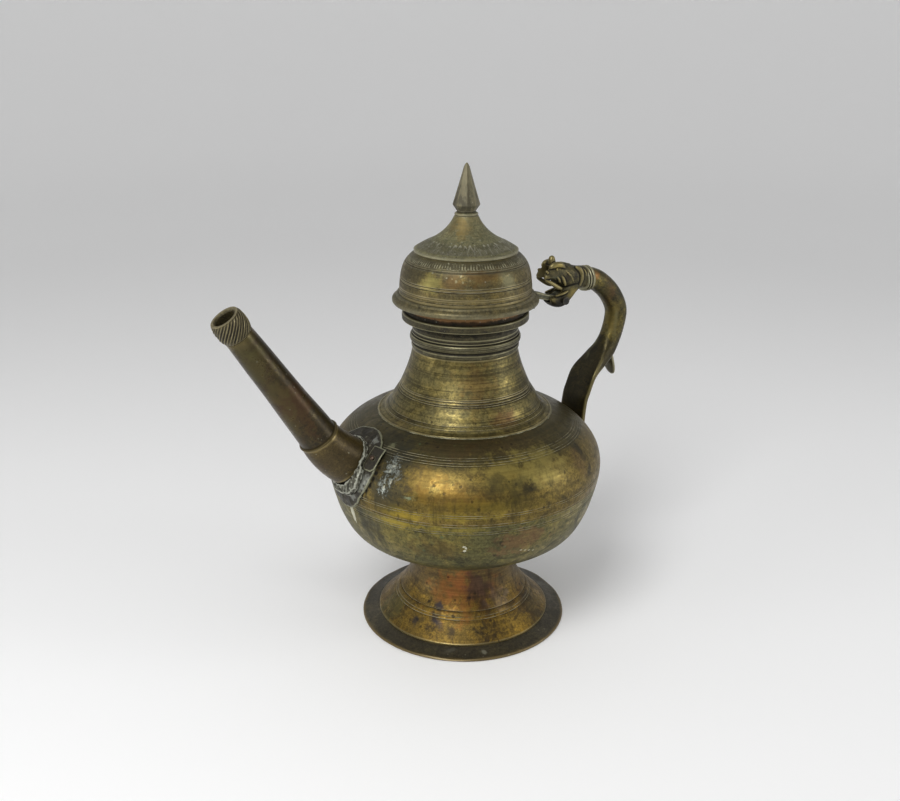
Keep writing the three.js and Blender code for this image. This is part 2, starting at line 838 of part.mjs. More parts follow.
// Hinge line and the dragon head round it
const pin_centre = flat(lid_rim_radius + hinge_reach, lid_z - hinge_drop);
const head_end = flat(pin_centre.x + head_length, pin_centre.z + head_rise);
const slot_width = eye_width + seat_gap * 2;
const tongue_root = flat(lid_rim_radius, lid_z - seat_gap - tongue_thickness / 2);

// Pin through the jaws, with a low head at each end
function hinge_pin() {
  const half = head_width / 2 + seat_gap;
  const step = new THREE.Vector3(0, 1, 0);
  const ends = [-1, 1].map((side) => pin_centre.clone().addScaledVector(step, side * half));
  const outer = ends.map((place, i) => place.clone().addScaledVector(step, (i * 2 - 1) * pin_head_height));
  const shank = solid(bar(outer[0], outer[1], pin_radius));
  const heads = ends.map((place, i) => solid(bar(place, outer[i], pin_head_radius)));
  return shape_of(shank.add(heads[0]).add(heads[1]));
}

// A round bar across the hinge, centred on the pin
function cross_bar(width, radius, sides = small_sides) {
  const half = flat(0, 0).setY(width / 2);
  return bar(pin_centre.clone().sub(half), pin_centre.clone().add(half), radius, sides);
}

// Space that the pin needs in what it passes through
function pin_hole() {
  return solid(cross_bar(head_width * 2, pin_radius + seat_gap));
}

// Slot in the head that the tongue swings in
function tongue_slot() {
  const reach = head_height + cut_overrun;
  const half = tongue_thickness / 2 + seat_gap * 2;
  const rest = tongue_root.clone().sub(pin_centre).normalize();
  const rest_side = flat(-rest.z, rest.x);
  const turn = THREE.MathUtils.degToRad(lid_opening + slot_overswing);
  const open = rest.clone().applyAxisAngle(new THREE.Vector3(0, 1, 0), turn);
  const open_side = flat(open.z, -open.x);
  const middle = rest.clone().add(open).normalize();
  const corners = [
    open_side.clone().multiplyScalar(half),
    open_side.clone().multiplyScalar(half).addScaledVector(open, reach),
    middle.clone().multiplyScalar(reach * 5 / 4),
    rest_side.clone().multiplyScalar(half).addScaledVector(rest, reach),
    rest_side.clone().multiplyScalar(half),
  ];
  const wedge = slab(corners.map((p) => pt(pin_centre.x + p.x, pin_centre.z + p.z)), slot_width);
  const round = cross_bar(slot_width, jaw_radius + seat_gap * 2);
  return solid(wedge).add(solid(round));
}

// Outline and its mirror image, joined to one closed outline
function mirrored(points) {
  return [...points, ...[...points].reverse().map((p) => pt(p.x, -p.y))];
}

// Blank of the head: where its side, top and front outlines meet
function head_blank() {
  const half_width = head_width / 2;
  const side = slab(head_outline_shares.map(([x, z]) => pt(
    pin_centre.x + head_length * x,
    pin_centre.z + head_height * z,
  )), head_width + cut_overrun);
  const plan = new THREE.ExtrudeGeometry(new THREE.Shape(mirrored(head_plan_shares.map(([x, y]) => pt(
    pin_centre.x + head_length * x,
    half_width * y,
  )))), { depth: head_height * 2, bevelEnabled: false });
  plan.translate(0, 0, pin_centre.z - head_height / 2);
  const front = new THREE.ExtrudeGeometry(new THREE.Shape(mirrored(head_front_shares.map(([y, z]) => pt(
    -head_height * z,
    half_width * y,
  )))), { depth: head_length * 3, bevelEnabled: false });
  front.rotateY(Math.PI / 2);
  front.translate(pin_centre.x - head_length, 0, pin_centre.z);
  return solid(side).intersect(solid(plan)).intersect(solid(front));
}

// Dragon head: open jaws with a curled snout, cheeks that hold the pin and bosses for eyes
function dragon_head() {
  const jaws = cross_bar(head_width, jaw_radius, tube_sides);
  const eyes = [-1, 1].map((side) => {
    const boss = revolve_solid([
      pt(0, -eye_boss_height),
      pt(eye_boss_radius, -eye_boss_height),
      ...dome_points(0, eye_boss_radius, eye_boss_height),
    ], small_sides);
    const place = flat(pin_centre.x + head_length / 8, pin_centre.z + head_height * 2 / 5);
    place.y = side * head_width / 2;
    return solid(aim(boss, new THREE.Vector3(0, side, 0), place));
  });
  const tenon = bar(
    head_end.clone().sub(flat(tenon_depth + seat_gap, 0)),
    head_end.clone().add(flat(cut_overrun, 0)),
    tenon_radius + seat_gap,
  );
  return shape_of(head_blank()
    .add(solid(jaws))
    .add(eyes[0])
    .add(eyes[1])
    .subtract(tongue_slot())
    .subtract(pin_hole())
    .subtract(solid(tenon)));
}

// Tongue of the lid: a strap under the rim that ends in the eye on the pin
function lid_tongue() {
  const along = pin_centre.clone().sub(tongue_root).normalize();
  const side = flat(-along.z, along.x).multiplyScalar(tongue_thickness / 2);
  const top = lid_z - seat_gap;
  const bottom = top - tongue_thickness;
  const inner_x = lid_rim_radius - tongue_inset;
  const strap = slab([
    pt(inner_x, bottom),
    pt(tongue_root.x, bottom),
    pt(pin_centre.x - side.x, pin_centre.z - side.z),
    pt(pin_centre.x + side.x, pin_centre.z + side.z),
    pt(tongue_root.x, top),
    pt(inner_x, top),
  ], eye_width);
  const root = slab([
    pt(inner_x, bottom),
    pt(tongue_root.x, bottom),
    pt(tongue_root.x, top),
    pt(inner_x, top),
  ], tongue_root_width);
  const eye = cross_bar(eye_width, eye_radius, tube_sides);
  return shape_of(solid(strap).add(solid(root)).add(solid(eye)).subtract(pin_hole()));
}

// Hook: a small downturned leaf under the tongue, beside the rim
function tongue_hook() {
  const slope = (pin_centre.z - tongue_root.z) / (pin_centre.x - tongue_root.x);
  const x = tongue_root.x + hook_length * 3 / 4;
  const top = tongue_root.z + slope * (x - tongue_root.x) - tongue_thickness / 2 - seat_gap * 2;
  const half = hook_thickness / 2;
  return slab([
    pt(x - half, top),
    pt(x - half, top - hook_length * 2 / 3),
    pt(x - half / 2, top - hook_length * 5 / 6),
    pt(x + half / 2, top - hook_length * 5 / 6),
    pt(x + half, top - hook_length / 2),
    pt(x + half, top),
  ], hook_width, hook_thickness / 6);
}

// Double ring behind the head
function head_bands() {
  const start = seat_gap;
  const end = start + band_length;
  const middle = (start + end) / 2;
  const geometry = revolve([
    pt(band_radius - band_groove, start),
    pt(band_radius, start + band_length / 4),
    pt(band_radius - band_groove, middle),
    pt(band_radius, end - band_length / 4),
    pt(band_radius - band_groove, end),
    pt(tenon_radius + seat_gap, end),
    pt(tenon_radius + seat_gap, start),
  ], tube_sides);
  return aim(geometry, flat(1, 0), head_end);
}

// Middle line of the handle, from behind the bands to the foot of the strap
const handle_start = flat(head_end.x + band_length + seat_gap * 2, head_end.z);
const land_z = belly_z + strap_land_rise;
const strap_lift = seat_gap + strap_thickness / 2;
const landing = on_body(land_z, 1, strap_lift).place;
const handle_points = [
  handle_start,
  ...arch_shares.slice(0, -1).map(([out, down]) => {
    const chord = handle_start.clone().sub(flat(band_length, 0)).lerp(landing, down);
    return flat(chord.x + arch_bulge * out, head_end.z + (landing.z - head_end.z) * down);
  }),
  landing,
  on_body(land_z - strap_foot_length / 2, 1, strap_lift).place,
  on_body(land_z - strap_foot_length, 1, strap_lift).place,
];

// Rivets through the strap's foot and the body wall
const rivet_places = rivet_shares.map((share) => on_body(land_z - strap_foot_length * share, 1));

// Holes for those rivets
function rivet_holes() {
  const holes = rivet_places.map(({ place, out }) => solid(bar(
    place.clone().addScaledVector(out, -cut_overrun),
    place.clone().addScaledVector(out, cut_overrun),
    rivet_radius + seat_gap,
  )));
  return holes[0].add(holes[1]);
}

// A rivet with a domed head outside and a peened one inside
function strap_rivet(index) {
  const { place, out } = rivet_places[index];
  const outside = seat_gap * 2 + strap_thickness;
  const inside = -body_wall - seat_gap * 3;
  const geometry = revolve_solid([
    pt(0, inside - rivet_head_height / 2),
    pt(rivet_radius + seat_gap * 2, inside - rivet_head_height / 2),
    pt(rivet_radius + seat_gap * 2, inside),
    pt(rivet_radius, inside),
    pt(rivet_radius, outside),
    ...dome_points(outside, rivet_head_radius, rivet_head_height),
  ], small_sides);
  return aim(geometry, out, place);
}

// Handle: a round arch that flattens and widens into a strap, with a leaf-shaped spur
function handle() {
  const curve = new THREE.CatmullRomCurve3(handle_points, false, 'centripetal');
  const steps = 20;
  const rings = [];
  for (let i = 0; i <= steps; i += 1) {
    const share = i / steps;
    const flatness = THREE.MathUtils.smoothstep(share, ...flatten_shares);
    const width = arch_diameter + (strap_width - arch_diameter) * flatness;
    const depth = arch_diameter + (strap_thickness - arch_diameter) * flatness;
    const squareness = arch_squareness + (strap_squareness - arch_squareness) * flatness;
    const along = i === 0 ? flat(1, 0) : curve.getTangentAt(share);
    rings.push(section(curve.getPointAt(share), along, width / 2, depth / 2, squareness));
  }
  const tenon = bar(
    handle_start.clone().sub(flat(band_length + seat_gap * 2 + tenon_depth, 0)),
    handle_start.clone().add(flat(tenon_depth, 0)),
    tenon_radius,
  );
  return shape_of(solid(loft(rings))
    .add(solid(tenon))
    .add(solid(handle_spur(curve)))
    .subtract(body_block(seat_gap))
    .subtract(rivet_holes()));
}

// Spur: a leaf that hangs from the outside of the arch where the strap turns in
function handle_spur(curve) {
  const root = curve.getPointAt(spur_root_share);
  const tangent = curve.getTangentAt(spur_turn_share);
  const out = flat(-tangent.z, tangent.x);
  const start = root.clone().addScaledVector(out, arch_diameter / 4);
  const bend = start.clone().addScaledVector(tangent, spur_length / 2);
  const end = start.clone().addScaledVector(flat(0, -1), spur_length);
  const path = new THREE.QuadraticBezierCurve3(start, bend, end);
  const rings = spur_width_shares.map((share, i) => {
    const at = i / (spur_width_shares.length - 1);
    const half_width = spur_width / 2 * share;
    const half_depth = spur_thickness / 2 * (1 - at * 3 / 5);
    return section(path.getPoint(at), path.getTangent(at), half_width, half_depth, 2, small_sides);
  });
  return loft(rings);
}

// Colours and finishes from the photograph
const olive = new THREE.MeshStandardMaterial({ color: 0x6b5a2e, roughness: 0.38, metalness: 0.9 });
const golden = new THREE.MeshStandardMaterial({ color: 0x8a6a2c, roughness: 0.35, metalness: 0.9 });
const reddish = new THREE.MeshStandardMaterial({ color: 0x7a5230, roughness: 0.4, metalness: 0.9 });
const dusty = new THREE.MeshStandardMaterial({ color: 0x6f6a4a, roughness: 0.55, metalness: 0.8 });
const dark = new THREE.MeshStandardMaterial({ color: 0x35332c, roughness: 0.45, metalness: 0.85 });
const brown = new THREE.MeshStandardMaterial({ color: 0x4a3b2a, roughness: 0.4, metalness: 0.9 });
const grey = new THREE.MeshStandardMaterial({ color: 0x8e8c84, roughness: 0.6, metalness: 0.7 });
const red_rivet = new THREE.MeshStandardMaterial({ color: 0x7c4a34, roughness: 0.5, metalness: 0.8 });

// Names a sub-part and gives it its finish
function piece(name, geometry, material) {
  const made = new THREE.Mesh(geometry, material);
  made.name = name;
  return made;
}

const vessel = new THREE.Group();
vessel.add(
  piece('foot_flange', foot_flange(), dark),
  piece('foot_bell', foot_bell(), reddish),
  piece('bowl_lower', bowl_lower(), olive),
  piece('bowl_upper', bowl_upper(), golden),
  piece('neck', neck(), olive),
  piece('neck_ring', neck_ring(), olive),
  piece('mouth_collar', mouth_collar(), olive),
);

const spout = new THREE.Group();
spout.add(
  piece('spout_plate', spout_plate(), brown),
  piece('spout_tab', spout_tab(), brown),
  piece('spout_tab_rivet', tab_rivet(), red_rivet),
  piece('spout_solder', spout_solder(), grey),
  piece('spout_socket', spout_socket(), brown),
  piece('spout_bead', spout_bead(), brown),
  piece('spout_tube', spout_tube(), brown),
  piece('spout_knob', spout_knob(), brown),
);

const handle_group = new THREE.Group();
handle_group.add(
  piece('handle', handle(), dark),
  piece('handle_rivet_upper', strap_rivet(0), dark),
  piece('handle_rivet_lower', strap_rivet(1), dark),
  piece('head_bands', head_bands(), golden),
  piece('dragon_head', dragon_head(), golden),
  piece('hinge_pin', hinge_pin(), dark),
);

const lid = new THREE.Group();
lid.add(
  piece('lid_rim', lid_rim(), dusty),
  piece('lid_dome', lid_dome(), dusty),
  piece('lid_crown', lid_crown(), dusty),
  piece('finial_collar', finial_collar(), dusty),
  piece('finial', finial(), golden),
  piece('finial_washer', finial_washer(), dusty),
  piece('lid_tongue', lid_tongue(), dusty),
  piece('tongue_hook', tongue_hook(), dark),
);

// The whole ewer, with its origin under the middle of its bounding box
const ewer = new THREE.Group();
ewer.add(vessel, spout, handle_group, lid);
const middle = new THREE.Box3().setFromObject(ewer, true).getCenter(new THREE.Vector3());
ewer.position.set(-middle.x, 0, 0);
ewer.updateMatrixWorld(true);
console.log('axis of the vessel at x =', ewer.position.x.toFixed(3));
const pin_place = pin_centre.clone().add(ewer.position).toArray().map((v) => v.toFixed(3));
console.log('hinge pin at', pin_place.join(', '));

export default ewer;
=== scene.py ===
# %% [markdown]
# # A covered bronze ewer
# The ewer is old hand-raised bronze: a flaring foot, a round belly, a turned neck, a domed lid on a
# hinge, a straight spout and a handle that ends in a dragon's head. The frame gives every piece its
# place and size in metres. Each piece is built again here as a smooth, finely detailed mesh.

# %% Load the frame
import json
import math

import bmesh
import bpy
import numpy as np
from mathutils import Matrix, Vector, noise
from mathutils.bvhtree import BVHTree


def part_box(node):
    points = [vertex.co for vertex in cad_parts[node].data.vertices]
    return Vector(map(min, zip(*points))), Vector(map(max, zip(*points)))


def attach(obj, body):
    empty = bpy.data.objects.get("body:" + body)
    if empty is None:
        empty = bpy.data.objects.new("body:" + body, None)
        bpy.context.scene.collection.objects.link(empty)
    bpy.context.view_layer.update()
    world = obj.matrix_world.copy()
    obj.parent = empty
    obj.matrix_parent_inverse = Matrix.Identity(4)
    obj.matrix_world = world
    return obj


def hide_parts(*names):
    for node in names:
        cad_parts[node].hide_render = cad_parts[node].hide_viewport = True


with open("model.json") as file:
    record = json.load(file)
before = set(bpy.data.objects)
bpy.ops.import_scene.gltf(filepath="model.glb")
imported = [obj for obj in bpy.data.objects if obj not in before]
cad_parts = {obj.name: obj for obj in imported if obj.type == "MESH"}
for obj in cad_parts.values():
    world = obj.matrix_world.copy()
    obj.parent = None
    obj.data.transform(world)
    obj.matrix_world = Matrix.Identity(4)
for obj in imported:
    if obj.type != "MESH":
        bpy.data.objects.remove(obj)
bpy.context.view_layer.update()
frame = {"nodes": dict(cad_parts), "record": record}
mm = 0.001
upright = Vector((0, 0, 1))
crosswise = Vector((0, 1, 0))
handle_way = Vector((1, 0, 0))
print("frame loaded with", len(frame["nodes"]), "nodes")

# %% [markdown]
# All round pieces share one upright axis. It is read from the foot, the piece that stands on the table.
# Heights come from the boxes of the pieces, so that everything stacks up as it does in the frame.


# %% Read places from the frame
def low(node):
    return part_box(node)[0].z


def high(node):
    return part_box(node)[1].z


def reach(node):
    first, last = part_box(node)
    return (last.y - first.y) / 2


axis_x = sum(corner.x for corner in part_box("foot_flange")) / 2
vessel_axis = Vector((axis_x, 0, 0))
print("vessel axis at x =", round(axis_x / mm, 2), "mm")

# %% [markdown]
# ## Camera
# The camera stands a little above the lid and looks down at the ewer. Its distance, height and turn
# were worked out from the ellipses that the round rims make in the photograph.

# %% Place the camera
camera_distance = 610.5 * mm
camera_height = 363.4 * mm
camera_sideways = -8.73 * mm
camera_turn = math.radians(32)
camera_pitch = math.radians(20.1)
camera_roll = math.radians(0.25)
focal_pixels = 1090
picture_width, picture_height = 900, 801


def placed(name, data):
    thing = bpy.data.objects.new(name, data)
    bpy.context.scene.collection.objects.link(thing)
    return thing


aside = Vector((math.cos(camera_turn), -math.sin(camera_turn), 0))
away = Vector((math.sin(camera_turn), math.cos(camera_turn), 0))
camera_spot = Vector((axis_x, 0, camera_height)) + aside * camera_sideways - away * camera_distance
camera = placed("camera", bpy.data.cameras.new("camera"))
camera.data.sensor_width = 36
camera.data.lens = focal_pixels * camera.data.sensor_width / picture_width
camera.matrix_world = (
    Matrix.Translation(camera_spot)
    @ Matrix.Rotation(-camera_turn, 4, "Z")
    @ Matrix.Rotation(math.pi / 2 - camera_pitch, 4, "X")
    @ Matrix.Rotation(camera_roll, 4, "Z")
)
bpy.context.scene.camera = camera
print("camera at", [round(v, 3) for v in camera_spot])

# %% [markdown]
# Some marks, such as splashes of solder, are known only from where they show in the photograph. A line
# of sight from the camera through that pixel finds the spot on the piece that carries the mark.

# %% Find a spot by its pixel
search_trees = {}


def spot_on(piece, x, y):
    if piece.name not in search_trees:
        faces = [tuple(face.vertices) for face in piece.data.polygons]
        search_trees[piece.name] = BVHTree.FromPolygons([v.co for v in piece.data.vertices], faces)
    across = (x - picture_width / 2) / focal_pixels
    up = (picture_height / 2 - y) / focal_pixels
    sight = camera.matrix_world.to_3x3() @ Vector((across, up, -1))
    place, normal, _, _ = search_trees[piece.name].ray_cast(camera_spot, sight.normalized())
    return place, normal


# %% [markdown]
# ## Making meshes
# Raised and turned work is made of rings: an outline is spun about an axis, or rings follow a bent
# path. One function skins rings into a mesh, and all the other makers use it. Outlines are smooth
# curves through a few points.


# %% Curves and rings
def curve_through(points, steps=8):
    points = np.array(points, float)
    ends = np.vstack([2 * points[0] - points[1], points, 2 * points[-1] - points[-2]])
    found = []
    for a, b, c, d in zip(ends, ends[1:], ends[2:], ends[3:]):
        for t in np.arange(steps) / steps:
            bend = 2 * b + (c - a) * t + (2 * a - 5 * b + 4 * c - d) * t**2
            found.append((bend + (3 * b - a - 3 * c + d) * t**3) / 2)
    return np.array([*found, points[-1]])


def profile(shares, start, end, steps):
    start, end = np.array(start), np.array(end)
    return curve_through(start + (end - start) * np.array(shares), steps)


def hoop(place, side, rise, sides, start=0):
    turns = start + np.arange(sides) * 2 * math.pi / sides
    return [place + side * math.cos(a) + rise * math.sin(a) for a in turns]


print("curves ready")


# %% Skin rings of points
def smoothed(mesh):
    mesh.shade_smooth()
    mesh.set_sharp_from_angle(angle=math.radians(35))
    return mesh


def cleaned(mesh):
    work = bmesh.new()
    work.from_mesh(mesh)
    bmesh.ops.remove_doubles(work, verts=work.verts, dist=mm / 1000)
    bmesh.ops.recalc_face_normals(work, faces=work.faces)
    work.to_mesh(mesh)
    work.free()
    return smoothed(mesh)


def skin(name, rings, closed=False, capped=True):
    count, total = len(rings[0]), len(rings) * len(rings[0])
    faces = []
    for here in range(0, total if closed else total - count, count):
        there = (here + count) % total
        for i in range(count):
            j = (i + 1) % count
            faces.append((here + i, here + j, there + j, there + i))
    if capped and not closed:
        faces += [tuple(reversed(range(count))), tuple(range(total - count, total))]
    mesh = bpy.data.meshes.new(name)
    mesh.from_pydata([place for ring in rings for place in ring], [], faces)
    return placed(name, cleaned(mesh))


print("skin ready")

# %% [markdown]
# A turned piece is an outline of radius and height, spun about its axis. Sheet has an inner face, which
# follows the outer one at the thickness of the wall. Scored lines are cut into the outline itself.


# %% Spin an outline
def turned(name, outline, sides=160, foot=vessel_axis, along=upright):
    turn = upright.rotation_difference(along).to_matrix()
    across, aslant = turn @ crosswise, turn @ handle_way
    rings = [hoop(foot + turn @ upright * height, across * radius, aslant * radius, sides)
             for radius, height in outline]
    return skin(name, rings, closed=True)


def bored(name, shares, start, end, steps, hole, lip=(), **settings):
    outline = [*profile(shares, start, end, steps), *lip, (hole, end[1]), (hole, start[1])]
    return turned(name, outline, **settings)


def inside_of(outer, wall):
    step = np.gradient(outer, axis=0)
    step /= np.linalg.norm(step, axis=1)[:, None]
    inner = outer + np.stack([-step[:, 1], step[:, 0]], 1) * wall
    inner[:, 0] = np.maximum(inner[:, 0], 0)
    return inner[::-1][::2]


def scored(outline, levels, wide=0.26 * mm, deep=0.07 * mm):
    rises = outline[:, 1]
    for level in np.array(levels) * mm:
        if not rises[0] + wide < level < rises[-1] - wide:
            continue
        spots = level + np.array([-wide, -wide / 3, wide / 3, wide])
        radii = np.interp(spots, rises, outline[:, 0])
        inward = np.array([spots[0] - spots[3], radii[3] - radii[0]])
        cut = np.stack([radii, spots], 1)
        cut[1:3] += inward / np.linalg.norm(inward) * deep
        outline = np.vstack([outline[rises < level - wide], cut, outline[rises > level + wide]])
        rises = outline[:, 1]
    return outline


print("makers ready")

# %% [markdown]
# Sheet that was raised by hand is never quite true. Slow noise moves the surface by a fraction of a
# millimetre, which bends the reflections the way a hammered wall does. Each finished mesh also gets a
# value that says how far every point stands out or lies back, for the wear on its edges.


# %% Unevenness and ridges
def pushed(piece, how_far):
    mesh = piece.data
    moved = [v.co + n.vector * how_far(v.co) for v, n in zip(mesh.vertices, mesh.vertex_normals)]
    mesh.vertices.foreach_set("co", [c for place in moved for c in place])
    mesh.update()
    return piece


def hand_made(piece, amount, size, seed):
    shift = Vector((seed, seed, seed))
    return pushed(piece, lambda place: (noise.noise((place + shift) / size) - 0.3) * amount)


def read_rows(items, key, width, kind=float):
    values = np.empty(len(items) * width, kind)
    items.foreach_get(key, values)
    return values.reshape(-1, width)


def mark_ridges(piece):
    mesh = piece.data
    spots = read_rows(mesh.vertices, "co", 3)
    normals = read_rows(mesh.vertex_normals, "vector", 3)
    a, b = read_rows(mesh.edges, "vertices", 2, int).T
    way = spots[b] - spots[a]
    far = np.maximum((way**2).sum(1), 1e-12)
    total, number = np.zeros((2, len(spots)))
    for start, sign in ((a, 1), (b, -1)):
        np.add.at(total, start, -sign * 2 * (way * normals[start]).sum(1) / far)
        np.add.at(number, start, 1)
    bend = total / np.maximum(number, 1)
    for _ in range(2):
        spread = bend.copy()
        np.add.at(spread, a, bend[b])
        np.add.at(spread, b, bend[a])
        bend = spread / (number + 1)
    layer = mesh.attributes.new("ridge", "FLOAT", "POINT")
    layer.data.foreach_set("value", np.clip(bend * mm, -1, 1).astype(np.float32))


print("unevenness ready")

# %% [markdown]
# ## Foot
# The foot is a flat ring of thick sheet with a flaring bell soldered on it. The ring's edge was cut
# with shears, so it is a little wavy, and thin on the outside.

# %% Foot ring and bell
flange_radius = reach("foot_flange")
flange_top = high("foot_flange")
flange_bore = flange_radius * 0.71
flange_edge = 1.1 * mm
flange_wave = 14 * mm
bell_radius = reach("foot_bell")
bell_neck = bell_radius * 0.586
bell_lip = 0.9 * mm
bell_grooves = ((18.9, 0.55), (16.2, 0.3), (15.2, 0.3))
groove_width = 0.7 * mm
sheet = 1.8 * mm


def foot_ring():
    rim = flange_radius - 0.2 * mm
    outline = [
        (flange_bore, 0), (rim - flange_edge / 2, 0), (rim, flange_edge / 3), (rim, flange_edge),
        (rim - flange_edge / 2, flange_edge * 1.5), (rim - flange_edge * 2, flange_edge * 1.75),
        (bell_radius + flange_edge * 2, flange_top - flange_edge / 2),
        (bell_radius + flange_edge, flange_top), (flange_bore, flange_top),
    ]
    ring = turned("ring_of_the_foot", outline, sides=220)
    for vertex in ring.data.vertices:
        if vertex.co.z > flange_edge / 2:
            vertex.co.z += (noise.noise(vertex.co / flange_wave) - 0.4) * mm / 2
    return ring


def foot_bell():
    base = low("foot_bell")
    shares = [(1, 0), (0.79, 0.1), (0.55, 0.225), (0.39, 0.32), (0.22, 0.44), (0.085, 0.59),
              (0.02, 0.78), (0, 1)]
    outer = profile(shares, (bell_neck, base + bell_lip), (bell_radius, high("foot_bell")), 10)
    for level, depth in bell_grooves:
        gap = np.abs(outer[:, 1] - level * mm)
        outer[:, 0] -= depth * mm * np.clip(1 - gap / groove_width, 0, 1)
    return turned("bell_of_the_foot", [(bell_radius, base), *outer, *inside_of(outer, sheet)])


print("foot outlines ready")

# %% [markdown]
# ## Belly
# The belly was raised in two bowls that meet in a seam below its widest line. Both halves follow one
# outline, given as shares of the belly's radius and of the height of each half.

# %% Belly
belly_radius = reach("bowl_upper")
belly_base = low("bowl_lower")
seam = high("bowl_lower")
widest = seam + 6.5 * mm
shoulder = high("bowl_upper")
belly_lines = (91.3, 92.7, 102.1, 103.4, 127.1, 128.0, 129.1, 129.9)
lower_shares = [(0.19, 1), (0.378, 0.985), (0.488, 0.955), (0.61, 0.903), (0.744, 0.798), (0.85, 0.677),
                (0.921, 0.486), (0.961, 0.303), (0.99, 0.128), (1, 0)]
upper_shares = [(0.995, 0.158), (0.971, 0.33), (0.923, 0.503), (0.85, 0.675), (0.762, 0.812),
                (0.68, 0.9), (0.61, 0.95), (0.549, 0.98), (0.5, 1)]
lower_points = [(belly_radius * r, widest - (widest - belly_base) * h) for r, h in lower_shares]
upper_points = [(belly_radius * r, widest + (shoulder - widest) * h) for r, h in upper_shares]
belly = curve_through(lower_points + upper_points)
belly[:, 0] = np.minimum(belly[:, 0], belly_radius)


def belly_at(height):
    return float(np.interp(height, belly[:, 1], belly[:, 0]))


def shoulder_at(radius):
    radii, heights = belly[belly[:, 1] > widest].T
    return float(np.interp(-radius, -radii, heights))


def belly_half(name, bottom, top):
    kept = belly[(belly[:, 1] > bottom) & (belly[:, 1] < top)]
    start = belly_at(bottom) if bottom > belly_base else 0
    outer = np.vstack([(start, bottom), kept, (belly_at(top), top)])
    return turned(name, [*scored(outer, belly_lines), *inside_of(outer, sheet)], sides=220)


print("belly from", round(belly_base / mm, 1), "to", round(shoulder / mm, 1), "mm")

# %% [markdown]
# ## Neck, mouldings and mouth
# The neck's skirt lies on the shoulder and its edge shows as a fine bright line of solder. A round
# moulding, a hollow and a flange follow above it, turned on a lathe.

# %% Neck and mouth
neck_reach = reach("neck")
neck_radius = 30.8 * mm
neck_opening = 41 * mm
neck_wall = 2 * mm
neck_lines = (138.8, 140.5, 149.7, 150.7, 152.1, 153.2)
bore = 28.4 * mm
lip_radius = 34.8 * mm
lip_chamfer = 0.3 * mm


def neck_skirt():
    top = high("neck")
    shares = [(1, 0), (1, 0.022), (0.93, 0.03), (0.82, 0.06), (0.67, 0.14), (0.56, 0.25), (0.385, 0.4),
              (0.25, 0.56), (0.14, 0.71), (0.05, 0.87), (0, 1)]
    outer = profile(shares, (neck_radius, shoulder_at(neck_reach)), (neck_reach, top), 8)
    inner = inside_of(outer[outer[:, 0] < neck_opening], neck_wall)
    foot = (neck_opening, shoulder + 0.4 * mm)
    return turned("neck_skirt", [*scored(outer, neck_lines), (bore, top), *inner, foot])


def moulding():
    shares = [(0, 0), (0.35, 0.1), (0.4, 0.22), (0.12, 0.3), (0.1, 0.36), (0.72, 0.42), (0.97, 0.5),
              (1, 0.57), (0.97, 0.63), (0.72, 0.71), (0.1, 0.76), (0.25, 0.82), (0.1, 0.88), (0, 1)]
    start, end = (neck_radius, low("neck_ring")), (reach("neck_ring"), high("neck_ring"))
    return bored("neck_moulding", shares, start, end, 5, bore)


def mouth():
    base, top = low("mouth_collar"), high("mouth_collar")
    shares = [(0, 0), (0, 0.08), (0.04, 0.18), (0.2, 0.27), (0.55, 0.34), (0.95, 0.38), (1, 0.43), (1, 0.6),
              (0.94, 0.65), (0.7, 0.68)]
    lip = [(lip_radius, top - (top - base) * 0.3), (lip_radius, top - lip_chamfer),
           (lip_radius - lip_chamfer, top)]
    end = (reach("mouth_collar"), top)
    return bored("mouth_of_the_neck", shares, (neck_radius, base), end, 5, bore, lip)


print("neck outlines ready")

# %% [markdown]
# ## Lid
# The lid is a domed drum with a flared crown on it. Its rim overhangs the mouth, and a short sleeve
# inside keeps it in place. The tang of the finial goes down through collar and crown.

# %% Lid
lid_base = low("lid_dome")
lid_wall = 1.6 * mm
rim_drop = 5.6 * mm
sleeve = 27.6 * mm
tang_radius = 2.3 * mm
crown_top_radius = 6.7 * mm
crown_lip = 1.4 * mm
dome_lines = (208.6, 210.8, 215.1, 216.7, 225.4)
rim_edge = [(-1.2, 0), (-0.4, 0.2), (0, 0.9), (0, 2), (-0.3, 2.7), (-1.2, 3.5), (-2.1, 4.1), (-2.3, 4.7),
            (-2.6, 5.2)]


def rim_of_lid():
    base, bottom, top = lid_base - rim_drop, low("lid_rim"), high("lid_rim")
    radius, hollow = reach("lid_rim"), reach("lid_dome") - 2 * lid_wall
    outline = [
        (sleeve, bottom), (sleeve, base), *[(radius + r * mm, base + h * mm) for r, h in rim_edge],
        (radius - 3.4 * mm, top), (hollow, top), (hollow, base + lid_wall),
        (sleeve - lid_wall, base + lid_wall), (sleeve - lid_wall, bottom),
    ]
    return turned("rim_of_the_lid", outline)


def dome_of_lid():
    shares = [(1, 0), (0.995, 0.2), (0.97, 0.5), (0.925, 0.72), (0.85, 0.88), (0.757, 1)]
    outer = profile(shares, (0, lid_base), (reach("lid_dome"), high("lid_dome")), 8)
    return turned("dome_of_the_lid", [*scored(outer, dome_lines), *inside_of(outer, lid_wall)])


def crown_of_lid():
    base, top, wide = low("lid_crown"), high("lid_crown"), reach("lid_crown")
    shares = [(1, 0), (0.78, 0.16), (0.5, 0.33), (0.27, 0.54), (0.1, 0.78), (0, 1)]
    outer = profile(shares, (crown_top_radius, base + crown_lip), (wide, top), 8)
    edge = [(wide - 0.5 * mm, base), (wide, base + 0.4 * mm), (wide, base + crown_lip - 0.3 * mm)]
    inner = inside_of(outer, lid_wall)
    inner = inner[(inner[:, 1] > base + mm / 2) & (inner[:, 1] < top - 2 * mm)]
    hole = [(tang_radius, top), (tang_radius, top - lid_wall)]
    return turned("crown_of_the_lid", [*edge, *outer, *hole, *inner])


